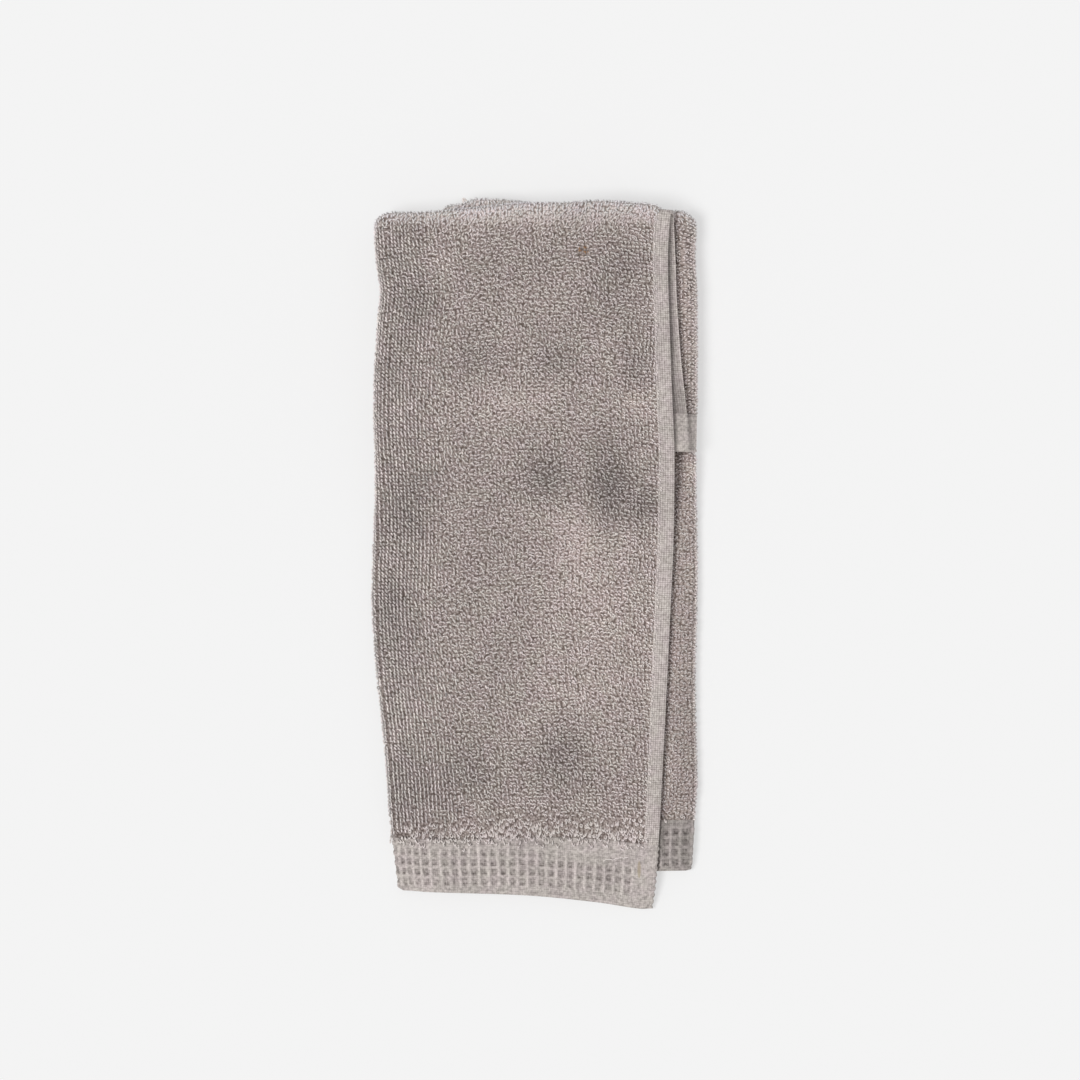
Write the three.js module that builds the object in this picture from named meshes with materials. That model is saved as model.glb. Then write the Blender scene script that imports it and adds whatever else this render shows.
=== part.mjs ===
// Folded washcloth: one square terry cloth, folded twice and lying flat.
// One end is turned behind the cloth first. The doubled cloth is then folded in thirds, back and forth.
// Millimetres, +Z up. +Y runs along the folded cloth, away from its front hem. The origin lies under
// the middle of the folded cloth, on the surface that the cloth rests on.
import * as THREE from 'three';

const CLOTH_COLOR = 0x9d938e;
const CLOTH_ROUGHNESS = 0.95;

// Thickness of the cloth, and the clear space between its layers
const PILE_THICKNESS = 2.3;
const HEM_THICKNESS = 1.5;
const SELVEDGE_THICKNESS = 1.3;
const LAYER_GAP = 0.5;
const LAYER_PITCH = PILE_THICKNESS + LAYER_GAP;

// The flat bands without pile, as shares of the panel or length that they end
const SELVEDGE_SHARE = 0.055;
const FRONT_HEM_SHARE = 0.08;
const FLAP_HEM_SHARE = 0.16;
const PILE_EDGE_SHARE = 0.015;

// The turned-back flap ends at FLAP_END. The layers above come down from FLAP_SETTLE_TOP over FLAP_SETTLE.
const FLAP_END = 32;
const FLAP_SETTLE_TOP = 41;
const FLAP_SETTLE = 40;
// Past the flap's end the right fold opens out again over this length
const FOLD_OPENING = 9;

// At the front hem three thin layers lie closer together
const HEM_SETTLE_TOP = -94;
const HEM_SETTLE = 7;
const HEM_TURN_RADIUS = 1;

// The lower panel stops short of the left fold, so the fold's nose sinks a little past its selvedge
const HIDDEN_SELVEDGE_INSET = 10.5;
const NOSE_DROP = 1.6;
const NOSE_REACH = 3;

// Sag per squared millimetre of overhang, of the flap's selvedge and of the front hem's corner
const SELVEDGE_SAG = 0.12;
const CORNER_SAG = 0.022;

// The middle panel's hem under the upper panel: its height at the right, its slope and where it starts to slope
const MIDDLE_HEM = { y: -102.1, slope: 0.05, from: 38 };

// Edges and folds in plan, from the top fold down to the front hem.
// x of the upper panel's selvedge, of the same selvedge on the flap, and of the two folds.
const PLAN = [
  { y: 112, selvedge: 44.0, flap: 44.3, leftFold: -50.2, rightFold: 50.5 },
  { y: 104, selvedge: 42.9, flap: 44.4, leftFold: -50.5, rightFold: 50.8 },
  { y: 93, selvedge: 42.4, flap: 44.9, leftFold: -50.0, rightFold: 50.5 },
  { y: 83, selvedge: 42.6, flap: 45.2, leftFold: -48.7, rightFold: 50.8 },
  { y: 74, selvedge: 42.9, flap: 45.7, leftFold: -49.5, rightFold: 50.8 },
  { y: 58, selvedge: 43.4, flap: 47.0, leftFold: -50.5, rightFold: 50.9 },
  { y: 44, selvedge: 44.0, flap: 48.9, leftFold: -50.8, rightFold: 50.7 },
  { y: 32, selvedge: 44.5, flap: 49.9, leftFold: -50.4, rightFold: 50.5 },
  { y: 17, selvedge: 44.5, flap: 49.9, leftFold: -50.4, rightFold: 50.6 },
  { y: 0, selvedge: 44.2, flap: 49.9, leftFold: -51.1, rightFold: 51.0 },
  { y: -17, selvedge: 43.4, flap: 49.9, leftFold: -51.4, rightFold: 50.8 },
  { y: -40, selvedge: 42.3, flap: 49.9, leftFold: -49.8, rightFold: 50.3 },
  { y: -58, selvedge: 41.4, flap: 49.9, leftFold: -47.8, rightFold: 50.6 },
  { y: -75, selvedge: 40.5, flap: 49.9, leftFold: -46.4, rightFold: 50.8 },
  { y: -90, selvedge: 39.7, flap: 49.9, leftFold: -45.3, rightFold: 50.0 },
  { y: -106, selvedge: 38.4, flap: 49.9, leftFold: -43.4, rightFold: 49.1 },
  { y: -114, selvedge: 37.3, flap: 49.9, leftFold: -42.9, rightFold: 48.9 },
];

// Places across the cloth run from the upper selvedge: 0 to 1 is the upper panel, 1 to 2 the left fold,
// 2 to 3 the middle panel, 3 to 4 the right fold, and 4 to 5 the lower panel.
// The top fold's outline
const TOP_FOLD = [
  { across: 0, y: 109.6 },
  { across: 0.045, y: 110.1 },
  { across: 0.06, y: 111.2 },
  { across: 0.1, y: 112.3 },
  { across: 0.2, y: 112.8 },
  { across: 0.33, y: 112.5 },
  { across: 0.54, y: 112.0 },
  { across: 0.75, y: 110.1 },
  { across: 1, y: 109.3 },
  { across: 1.25, y: 108.6 },
  { across: 1.5, y: 107.6 },
  { across: 1.75, y: 108.0 },
  { across: 2, y: 108.5 },
  { across: 2.15, y: 109.4 },
  { across: 2.2, y: 111.3 },
  { across: 2.28, y: 113.2 },
  { across: 2.38, y: 113.2 },
  { across: 2.6, y: 111.4 },
  { across: 3, y: 109.4 },
  { across: 3.25, y: 108.4 },
  { across: 3.5, y: 107.3 },
  { across: 3.75, y: 107.8 },
  { across: 4, y: 108.4 },
  { across: 5, y: 108.6 },
];

// The front hem's outline
const FRONT_HEM = [
  { across: 0, y: -113.9 },
  { across: 0.05, y: -114.0 },
  { across: 0.22, y: -112.0 },
  { across: 0.5, y: -109.8 },
  { across: 0.94, y: -108.2 },
  { across: 1.15, y: -107.4 },
  { across: 1.5, y: -106.6 },
  { across: 2, y: -106.2 },
  { across: 2.6, y: -103.4 },
  { across: 2.87, y: -102.1 },
  { across: 3.5, y: -101.6 },
  { across: 5, y: -102.4 },
];

// Soft swells of the pile and the layers: centre, half width, half length, and share of the height added
const SWELLS = [
  { x: -14, y: 78, halfWidth: 34, halfLength: 26, rise: 0.05 },
  { x: 22, y: 52, halfWidth: 24, halfLength: 20, rise: 0.06 },
  { x: -34, y: 30, halfWidth: 22, halfLength: 26, rise: 0.05 },
  { x: 20, y: -16, halfWidth: 30, halfLength: 22, rise: 0.1 },
  { x: -26, y: -38, halfWidth: 24, halfLength: 22, rise: 0.07 },
  { x: 26, y: -66, halfWidth: 18, halfLength: 20, rise: 0.09 },
];

// Mesh steps: each row runs to its end from the row before
const STEPS_ACROSS = [
  { part: 'upper selvedge', end: SELVEDGE_SHARE, steps: 2 },
  { part: 'upper pile edge', end: SELVEDGE_SHARE + PILE_EDGE_SHARE, steps: 1 },
  { part: 'upper panel', end: 1, steps: 11 },
  { part: 'left fold', end: 2, steps: 8 },
  { part: 'middle panel, left', end: 2.15, steps: 2 },
  { part: 'middle panel, top corner', end: 2.35, steps: 3 },
  { part: 'middle panel, right', end: 3, steps: 6 },
  { part: 'right fold', end: 4, steps: 8 },
  { part: 'lower panel', end: 5 - SELVEDGE_SHARE - PILE_EDGE_SHARE, steps: 6 },
  { part: 'lower pile edge', end: 5 - SELVEDGE_SHARE, steps: 1 },
  { part: 'lower selvedge', end: 5, steps: 1 },
];

// Places along the cloth: 0 to 1 is the front, from its hem up, 1 to 2 the top fold, and 2 to 3 the flap behind
const STEPS_ALONG = [
  { part: 'front hem', end: FRONT_HEM_SHARE, steps: 3 },
  { part: 'front pile edge', end: FRONT_HEM_SHARE + PILE_EDGE_SHARE, steps: 1 },
  { part: 'front', end: 1, steps: 20 },
  { part: 'top fold', end: 2, steps: 6 },
  { part: 'flap', end: 3 - FLAP_HEM_SHARE - PILE_EDGE_SHARE, steps: 6 },
  { part: 'flap pile edge', end: 3 - FLAP_HEM_SHARE, steps: 1 },
  { part: 'flap hem', end: 3, steps: 2 },
];

const { lerp, smoothstep } = THREE.MathUtils;

// A smooth curve through one column of a table, read at a value of its first column
function readTable(table, key, column, at) {
  const sign = Math.sign(table[1][key] - table[0][key]);
  const last = table.length - 2;
  let i = 0;
  while (i < last && (at - table[i + 1][key]) * sign > 0) {
    i += 1;
  }
  const slope = (j) => {
    const before = table[Math.max(j - 1, 0)];
    const after = table[Math.min(j + 1, last + 1)];
    return (after[column] - before[column]) / (after[key] - before[key]);
  };
  const span = table[i + 1][key] - table[i][key];
  const t = THREE.MathUtils.clamp((at - table[i][key]) / span, 0, 1);
  const level = lerp(table[i][column], table[i + 1][column], t * t * (3 - 2 * t));
  const lead = slope(i) * t * (1 - t) ** 2;
  const tail = slope(i + 1) * t * t * (1 - t);
  return level + span * (lead - tail);
}

// Half the height that one turn of the folded cloth takes up
function turnRadius(y) {
  const upper = LAYER_PITCH;
  const lower = LAYER_PITCH / 2;
  const flapShare = smoothstep(y, FLAP_SETTLE_TOP - FLAP_SETTLE, FLAP_SETTLE_TOP);
  const hemShare = 1 - smoothstep(y, HEM_SETTLE_TOP - HEM_SETTLE, HEM_SETTLE_TOP);
  return lerp(lower, upper, flapShare) - hemShare * (lower - HEM_TURN_RADIUS);
}

// Distance of the front layer and of the flap from the middle between them
function plySpread(y) {
  return Math.max(turnRadius(y) - LAYER_PITCH / 2, 0);
}

function swell(x, y) {
  let rise = 0;
  for (const s of SWELLS) {
    const away = ((x - s.x) / s.halfWidth) ** 2 + ((y - s.y) / s.halfLength) ** 2;
    rise += s.rise * Math.exp(-away);
  }
  return rise;
}

// Drop of the upper and middle panels towards the nose of the left fold
function noseDrop(x, leftAxis, hiddenSelvedge) {
  return NOSE_DROP * (1 - smoothstep(x, leftAxis, hiddenSelvedge + NOSE_REACH));
}

// Drop of the upper panel where it overhangs what lies under it
function overhangDrop(x, y, rightAxis) {
  const pastFold = Math.max(x - rightAxis, 0);
  const middleHem = MIDDLE_HEM.y - MIDDLE_HEM.slope * Math.max(MIDDLE_HEM.from - x, 0);
  const pastHem = Math.max(middleHem - y, 0);
  return SELVEDGE_SAG * pastFold ** 2 + CORNER_SAG * pastHem ** 2;
}

// The back-and-forth section across the cloth at y, midway between the front layer and the flap.
// behind is 0 on the front and 1 on the flap.
function foldPath(across, y, behind) {
  const r = turnRadius(y);
  const spread = plySpread(y);
  const opened = 1 - smoothstep(y, FLAP_END - FOLD_OPENING, FLAP_END - 1);
  const leftFold = readTable(PLAN, 'y', 'leftFold', y);
  const leftAxis = leftFold + r + spread;
  const hiddenSelvedge = leftFold + HIDDEN_SELVEDGE_INSET;
  const rightAxis = readTable(PLAN, 'y', 'rightFold', y) - r - lerp(spread, -spread, opened);
  const selvedge = lerp(
    readTable(PLAN, 'y', 'selvedge', y),
    readTable(PLAN, 'y', 'flap', y),
    behind,
  );
  const section = Math.min(Math.floor(across), 4);
  const share = across - section;
  const turn = share * Math.PI;
  let x = 0;
  let z = 0;
  if (section === 0) {
    x = lerp(selvedge, leftAxis, share);
    z = 5 * r - noseDrop(x, leftAxis, hiddenSelvedge) - overhangDrop(x, y, rightAxis);
  } else if (section === 1) {
    x = leftAxis - r * Math.sin(turn);
    z = 4 * r + r * Math.cos(turn) - NOSE_DROP;
  } else if (section === 2) {
    x = lerp(leftAxis, rightAxis, share);
    z = 3 * r - noseDrop(x, leftAxis, hiddenSelvedge);
  } else if (section === 3) {
    x = rightAxis + r * Math.sin(turn);
    z = 2 * r + r * Math.cos(turn);
  } else {
    x = lerp(rightAxis, hiddenSelvedge, share);
    z = r;
  }
  z = r + (z - r) * (1 + swell(x, y));
  return new THREE.Vector2(x, z);
}

// The side of that section on which the front layer lies
function foldSide(across, y, behind) {
  const reach = 0.01;
  const ahead = foldPath(Math.min(across + reach, 5), y, behind);
  const back = foldPath(Math.max(across - reach, 0), y, behind);
  const along = ahead.sub(back).normalize();
  return new THREE.Vector2(along.y, -along.x);
}

// A point in the middle of the cloth's thickness
function clothPoint(across, along) {
  const frontHem = readTable(FRONT_HEM, 'across', 'y', across);
  const outline = readTable(TOP_FOLD, 'across', 'y', across);
  const turnStart = outline - plySpread(outline) - PILE_THICKNESS / 2;
  const turn = THREE.MathUtils.clamp(along - 1, 0, 1) * Math.PI;
  const behind = (1 - Math.cos(turn)) / 2;
  let y = lerp(frontHem, turnStart, Math.min(along, 1));
  if (along > 2) {
    y = lerp(turnStart, FLAP_END, along - 2);
  }
  const spread = plySpread(y);
  const middle = foldPath(across, y, behind);
  const side = foldSide(across, y, behind);
  const offset = spread * Math.cos(turn);
  return new THREE.Vector3(
    middle.x + offset * side.x,
    y + spread * Math.sin(turn),
    middle.y + offset * side.y - LAYER_GAP / 2,
  );
}

// The side of the cloth that faces up on the front of the upper panel
function clothNormal(across, along) {
  const reach = 0.004;
  const acrossAhead = clothPoint(Math.min(across + reach, 5), along);
  const acrossBack = clothPoint(Math.max(across - reach, 0), along);
  const alongAhead = clothPoint(across, Math.min(along + reach, 3));
  const alongBack = clothPoint(across, Math.max(along - reach, 0));
  const acrossWay = acrossAhead.sub(acrossBack);
  const alongWay = alongAhead.sub(alongBack);
  return alongWay.cross(acrossWay).normalize();
}

function clothThickness(across, along) {
  const fromSelvedge = Math.min(across, 5 - across);
  const selvedge = smoothstep(fromSelvedge, SELVEDGE_SHARE, SELVEDGE_SHARE + PILE_EDGE_SHARE);
  const frontHem = smoothstep(along, FRONT_HEM_SHARE, FRONT_HEM_SHARE + PILE_EDGE_SHARE);
  const flapHem = smoothstep(3 - along, FLAP_HEM_SHARE, FLAP_HEM_SHARE + PILE_EDGE_SHARE);
  const besideSelvedge = lerp(SELVEDGE_THICKNESS, PILE_THICKNESS, selvedge);
  const besideHem = lerp(HEM_THICKNESS, PILE_THICKNESS, Math.min(frontHem, flapHem));
  return Math.min(besideSelvedge, besideHem);
}

// The places of a row of mesh steps, from 0
function stepPlaces(rows) {
  const places = [0];
  let start = 0;
  for (const row of rows) {
    for (let i = 1; i <= row.steps; i += 1) {
      places.push(lerp(start, row.end, i / row.steps));
    }
    start = row.end;
  }
  return places;
}

// A flat grid one step thick, carried onto the folded cloth point by point
function foldedCloth() {
  const across = stepPlaces(STEPS_ACROSS);
  const along = stepPlaces(STEPS_ALONG);
  const geometry = new THREE.BoxGeometry(1, 1, 1, across.length - 1, along.length - 1, 1);
  const position = geometry.getAttribute('position');
  for (let i = 0; i < position.count; i += 1) {
    const column = Math.round((0.5 - position.getX(i)) * (across.length - 1));
    const row = Math.round((0.5 + position.getY(i)) * (along.length - 1));
    const point = clothPoint(across[column], along[row]);
    const normal = clothNormal(across[column], along[row]);
    const offset = position.getZ(i) * clothThickness(across[column], along[row]);
    point.addScaledVector(normal, offset);
    position.setXYZ(i, point.x, point.y, point.z);
  }
  geometry.computeVertexNormals();
  geometry.computeBoundingBox();
  const middle = geometry.boundingBox.getCenter(new THREE.Vector3());
  geometry.translate(-middle.x, -middle.y, -geometry.boundingBox.min.z);
  return geometry;
}

const washcloth = new THREE.Group();
const terry = new THREE.MeshStandardMaterial({
  color: CLOTH_COLOR,
  roughness: CLOTH_ROUGHNESS,
  metalness: 0,
});
const cloth = new THREE.Mesh(foldedCloth(), terry);
cloth.name = 'washcloth';
washcloth.add(cloth);

export default washcloth;
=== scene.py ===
"""A folded terry washcloth with waffle-woven border bands, seen from straight above.

The cloth is one square of terry. One end is turned behind it, and the doubled cloth is then folded in
thirds, back and forth. The weave is modelled on that folded form: a ground cloth with flat selvedges,
two border bands with waffle cells, and a pile of yarn loops on every face that isn't folded inside.
"""

import logging
import math
from dataclasses import dataclass
from enum import Enum
from typing import NamedTuple, Sequence

import bpy
import numpy as np
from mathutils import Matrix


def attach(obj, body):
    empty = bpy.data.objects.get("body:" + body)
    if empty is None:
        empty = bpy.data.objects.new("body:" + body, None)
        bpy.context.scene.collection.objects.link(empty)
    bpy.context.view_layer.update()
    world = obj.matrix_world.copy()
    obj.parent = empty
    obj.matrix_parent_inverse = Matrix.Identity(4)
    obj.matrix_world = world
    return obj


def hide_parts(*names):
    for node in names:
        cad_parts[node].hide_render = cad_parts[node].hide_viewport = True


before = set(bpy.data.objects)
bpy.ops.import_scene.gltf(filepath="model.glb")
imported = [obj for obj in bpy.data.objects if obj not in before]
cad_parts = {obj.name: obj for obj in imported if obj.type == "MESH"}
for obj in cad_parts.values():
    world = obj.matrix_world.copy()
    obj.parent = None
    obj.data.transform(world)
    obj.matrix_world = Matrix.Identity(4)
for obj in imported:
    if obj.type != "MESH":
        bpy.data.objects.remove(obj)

LOG = logging.getLogger("washcloth")
Array = np.ndarray
MM = 0.001
NODE = "washcloth"
BODY = "root"
ACROSS_END = 5.0
ALONG_END = 3.0


class Side(Enum):
    """The two sides of the cloth; the outer one faces up on the front of the upper panel."""

    OUTER = 1.0
    INNER = -1.0


class End(Enum):
    """The two ends of the cloth, each with its border band."""

    FRONT = "front"
    FLAP = "flap"


class PlanRow(NamedTuple):
    """Edges and folds in plan at one height of the folded cloth, in millimetres."""

    y: float
    selvedge: float
    flap: float
    left_fold: float
    right_fold: float


class ProfileRow(NamedTuple):
    """The outline of an end of the folded cloth at one place across it."""

    across: float
    y: float


class Swell(NamedTuple):
    """A soft swell of the layers: its centre, half sizes and the share of the height that it adds."""

    x: float
    y: float
    half_width: float
    half_length: float
    rise: float


class LayRow(NamedTuple):
    """How loops lie round one place in plan: turn, lean and spread, how far they stray, softness (how much of
    the painted shade at their feet is lifted) and tone.
    """

    x: float
    y: float
    half_width: float
    half_length: float
    weight: float
    turn: float
    lean_x: float
    lean_y: float
    apart: float
    stray: float
    soft: float
    tone: float


class TonePatch(NamedTuple):
    """A soft lighter or darker patch of the pile, painted light and shade for loops that lie differently and
    so catch the light differently: its centre, half sizes and strength.
    """

    x: float
    y: float
    half_width: float
    half_length: float
    strength: float


class Steps(NamedTuple):
    """Mesh steps up to one place across or along the cloth."""

    end: float
    steps: int


PLAN = (
    PlanRow(112, 44.0, 44.3, -50.2, 50.5),
    PlanRow(104, 42.9, 44.4, -50.5, 50.8),
    PlanRow(93, 42.4, 44.9, -50.0, 50.5),
    PlanRow(83, 42.6, 45.2, -48.7, 51.1),
    PlanRow(74, 42.9, 45.7, -49.5, 51.1),
    PlanRow(58, 43.4, 47.0, -50.5, 51.2),
    PlanRow(44, 44.0, 48.9, -50.8, 51.0),
    PlanRow(32, 44.5, 49.9, -50.4, 50.8),
    PlanRow(17, 44.5, 49.9, -50.4, 50.9),
    PlanRow(0, 44.2, 49.9, -51.1, 51.3),
    PlanRow(-17, 43.4, 49.9, -51.4, 51.1),
    PlanRow(-40, 42.3, 49.9, -49.8, 50.6),
    PlanRow(-58, 41.4, 49.9, -47.8, 50.9),
    PlanRow(-75, 40.5, 49.9, -46.4, 51.1),
    PlanRow(-90, 39.7, 49.9, -45.3, 50.0),
    PlanRow(-106, 38.4, 49.9, -43.4, 49.1),
    PlanRow(-114, 37.3, 49.9, -42.9, 48.9),
)

TOP_FOLD = (
    ProfileRow(0, 109.6),
    ProfileRow(0.045, 110.1),
    ProfileRow(0.06, 111.2),
    ProfileRow(0.1, 111.7),
    ProfileRow(0.2, 112.3),
    ProfileRow(0.27, 112.7),
    ProfileRow(0.36, 112.1),
    ProfileRow(0.5, 112.0),
    ProfileRow(0.61, 111.3),
    ProfileRow(0.71, 110.3),
    ProfileRow(0.82, 109.3),
    ProfileRow(0.92, 109.0),
    ProfileRow(1, 108.9),
    ProfileRow(1.25, 108.2),
    ProfileRow(1.5, 107.2),
    ProfileRow(1.75, 107.6),
    ProfileRow(2, 108.0),
    ProfileRow(2.15, 108.6),
    ProfileRow(2.18, 109.4),
    ProfileRow(2.2, 111.0),
    ProfileRow(2.25, 111.7),
    ProfileRow(2.28, 113.0),
    ProfileRow(2.38, 113.2),
    ProfileRow(2.45, 112.4),
    ProfileRow(2.6, 111.4),
    ProfileRow(3, 109.4),
    ProfileRow(3.25, 108.4),
    ProfileRow(3.5, 107.3),
    ProfileRow(3.75, 107.8),
    ProfileRow(4, 108.4),
    ProfileRow(5, 108.6),
)

FRONT_HEM = (
    ProfileRow(0, -113.9),
    ProfileRow(0.05, -114.0),
    ProfileRow(0.22, -112.0),
    ProfileRow(0.5, -109.8),
    ProfileRow(0.9, -108.7),
    ProfileRow(0.97, -108.3),
    ProfileRow(1.1, -107.9),
    ProfileRow(1.5, -107.2),
    ProfileRow(2, -106.2),
    ProfileRow(2.6, -103.4),
    ProfileRow(2.87, -102.1),
    ProfileRow(3.5, -101.6),
    ProfileRow(5, -102.4),
)

SWELLS = (
    Swell(-14, 78, 34, 26, 0.05),
    Swell(22, 52, 24, 20, 0.06),
    Swell(-34, 30, 22, 26, 0.05),
    Swell(20, -16, 30, 22, 0.1),
    Swell(-26, -38, 24, 22, 0.07),
    Swell(26, -66, 18, 20, 0.09),
)

LAY = (
    LayRow(0, 0, 400, 400, 0.15, 120, 0.14, 0.46, 0.85, 34, 0.0, 0.42),
    LayRow(-49, 20, 13, 90, 1.0, -26, 0.12, 0.12, 1.05, 10, 0.0, 0.6),
    LayRow(-44, -88, 13, 34, 1.2, -6, 0.08, 0.05, 1.05, 9, 0.0, 0.6),
    LayRow(39, 0, 9, 400, 1.0, -44, 0.6, 0.5, 0.75, 24, 0.0, 0.42),
    LayRow(49, -20, 4.5, 400, 1.5, 72, 0.4, 0.2, 0.8, 26, 0.25, 0.24),
    LayRow(0, 110, 400, 5, 1.0, 20, 0.0, 0.3, 1.0, 30, 0.3, 0.42),
    LayRow(0, -90, 400, 3.5, 1.6, 62, 0.3, -1.5, 0.85, 42, 0.0, 0.42),
)

# Painted light and shade of the pile. The last two rows are painted light that lifts the shade below the
# flap's end, and a painted shadow in the gap beside the upper panel's selvedge.
TONE_PATCHES = (
    TonePatch(3.4, 24.2, 9, 7, -1.0),
    TonePatch(23.6, 21.0, 7, 12, -1.1),
    TonePatch(35.4, 15.5, 5, 6, -0.8),
    TonePatch(-6.2, 48.5, 14, 7, 0.55),
    TonePatch(32.2, 47.5, 6, 5, 0.6),
    TonePatch(32.2, 60.3, 5, 5, -0.7),
    TonePatch(-19.0, 62.6, 9, 5, -0.5),
    TonePatch(5.7, 61.3, 7, 5, -0.5),
    TonePatch(14.6, 4.3, 8, 12, 0.7),
    TonePatch(21.0, -27.7, 24, 30, 0.35),
    TonePatch(8.2, -64.5, 8, 10, -0.9),
    TonePatch(-22.2, -69.9, 12, 7, -0.6),
    TonePatch(-40.4, -75.7, 9, 10, -0.4),
    TonePatch(-45.5, -14.9, 5, 6, -0.6),
    TonePatch(-39.8, 12.3, 7, 12, -0.6),
    TonePatch(-38.2, 81.1, 8, 8, -0.5),
    TonePatch(25.8, 87.5, 12, 14, -0.3),
    TonePatch(-48.5, 0, 4, 110, -0.1),
    TonePatch(49, -45, 5, 55, -0.75),
    TonePatch(49, 75, 4, 30, 0.5),
    TonePatch(48, 27, 5, 5, 1.1),
    TonePatch(46.4, 49.1, 1.6, 7, -0.9),
)
# Painted light and shade: the strength of the pile's patches, painted light on the loops by the top fold and
# on all pieces by the right fold, and how much of the painted shade at the loops' feet a lighter patch lifts.
PATCH_SHARE = 0.25
TOP_PAINTED_LIGHT = 0.12
RIGHT_PAINTED_LIGHT = 0.22
PALE_PER_PATCH = 1.5
FLOOR_CLEARANCE = 0.02


def smoothstep(value: Array, low: float | Array, high: float | Array) -> Array:
    """Ease from 0 at low to 1 at high.

    Args:
        value: What is eased.
        low: Where the rise starts.
        high: Where the rise ends.

    Returns:
        Shares from 0 to 1.
    """
    share = np.clip((np.asarray(value, float) - low) / (high - low), 0.0, 1.0)
    return share * share * (3.0 - 2.0 * share)


class Ease(NamedTuple):
    """A range over which something eases from nothing to full."""

    low: float
    high: float

    def at(self, value: Array) -> Array:
        """Share from 0 to 1 at each value."""
        return smoothstep(value, self.low, self.high)


RIGHT_RIM = Ease(-0.7, 0.6)


def read_table(rows: Sequence[NamedTuple], column: str, at: Array) -> Array:
    """Read a smooth curve through one column of a table.

    Args:
        rows: The table, in order of its first column.
        column: The column that is read.
        at: Values of the first column.

    Returns:
        The column's value at each of them.
    """
    keys = np.array([row[0] for row in rows], float)
    values = np.array([getattr(row, column) for row in rows], float)
    if keys[0] > keys[-1]:
        keys, values = keys[::-1], values[::-1]
    last = len(keys) - 1
    before = np.maximum(np.arange(last + 1) - 1, 0)
    after = np.minimum(np.arange(last + 1) + 1, last)
    slopes = (values[after] - values[before]) / (keys[after] - keys[before])
    i = np.clip(np.searchsorted(keys, at, side="right") - 1, 0, last - 1)
    span = keys[i + 1] - keys[i]
    t = np.clip((at - keys[i]) / span, 0.0, 1.0)
    level = values[i] + (values[i + 1] - values[i]) * t * t * (3.0 - 2.0 * t)
    lead = slopes[i] * t * (1.0 - t) ** 2
    tail = slopes[i + 1] * t * t * (1.0 - t)
    return level + span * (lead - tail)


def unit(vectors: Array) -> Array:
    """Give vectors the length one."""
    return vectors / np.maximum(np.linalg.norm(vectors, axis=-1, keepdims=True), 1e-9)


def near_right_fold(x: Array, y: Array) -> Array:
    """How near the outline's right side a place is.

    Args:
        x: Places in plan, in millimetres.
        y: Places in plan, in millimetres.

    Returns:
        1 on the outline, falling to 0 a little way inside it.
    """
    outline = read_table(PLAN, "right_fold", y) - FoldedForm.centre_x
    return RIGHT_RIM.at(x - outline)


def patch_shade(x: Array, y: Array) -> Array:
    """Read the pile's painted light and shade: its soft patches, and painted light along the right fold.

    Args:
        x: Places in plan, in millimetres.
        y: Places in plan, in millimetres.

    Returns:
        Brightness at each place, 1 where there is no patch and no painted light.
    """
    total = 1.0 + RIGHT_PAINTED_LIGHT * near_right_fold(x, y)
    for patch in TONE_PATCHES:
        away = ((x - patch.x) / patch.half_width) ** 2 + ((y - patch.y) / patch.half_length) ** 2
        total += PATCH_SHARE * patch.strength * np.exp(-away)
    return total


def step_places(rows: Sequence[Steps], start: float = 0.0) -> Array:
    """Places of a table of mesh steps.

    Args:
        rows: The table; each row runs to its end from the row before.
        start: Where the first row starts.

    Returns:
        All places, the start included.
    """
    places = [start]
    for row in rows:
        begin = places[-1]
        places.extend(begin + (row.end - begin) * k / row.steps for k in range(1, row.steps + 1))
    return np.array(places)


@dataclass(frozen=True)
class Drift:
    """A smooth random field over the cloth, made of a few waves."""

    seed: int
    size: float
    waves: int = 14
    shortest: float = 0.6
    longest: float = 1.8
    level: float = 1.6

    def at(self, x: Array, y: Array) -> Array:
        """Read the field.

        Args:
            x: Places in one direction, in millimetres.
            y: Places in the other direction, in millimetres.

        Returns:
            Values of about -1 to 1.
        """
        rng = np.random.default_rng(self.seed)
        total = np.zeros(np.broadcast(x, y).shape)
        for _ in range(self.waves):
            angle, phase = rng.uniform(0.0, 2.0 * math.pi, 2)
            rate = 2.0 * math.pi / (self.size * rng.uniform(self.shortest, self.longest))
            total += np.sin(rate * (x * math.cos(angle) + y * math.sin(angle)) + phase)
        return total / math.sqrt(self.waves / 2.0) / self.level


class Patch(NamedTuple):
    """Places on the cloth with the directions there: across it, along it and out of its outer side."""

    point: Array
    across_way: Array
    along_way: Array
    normal: Array


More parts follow.
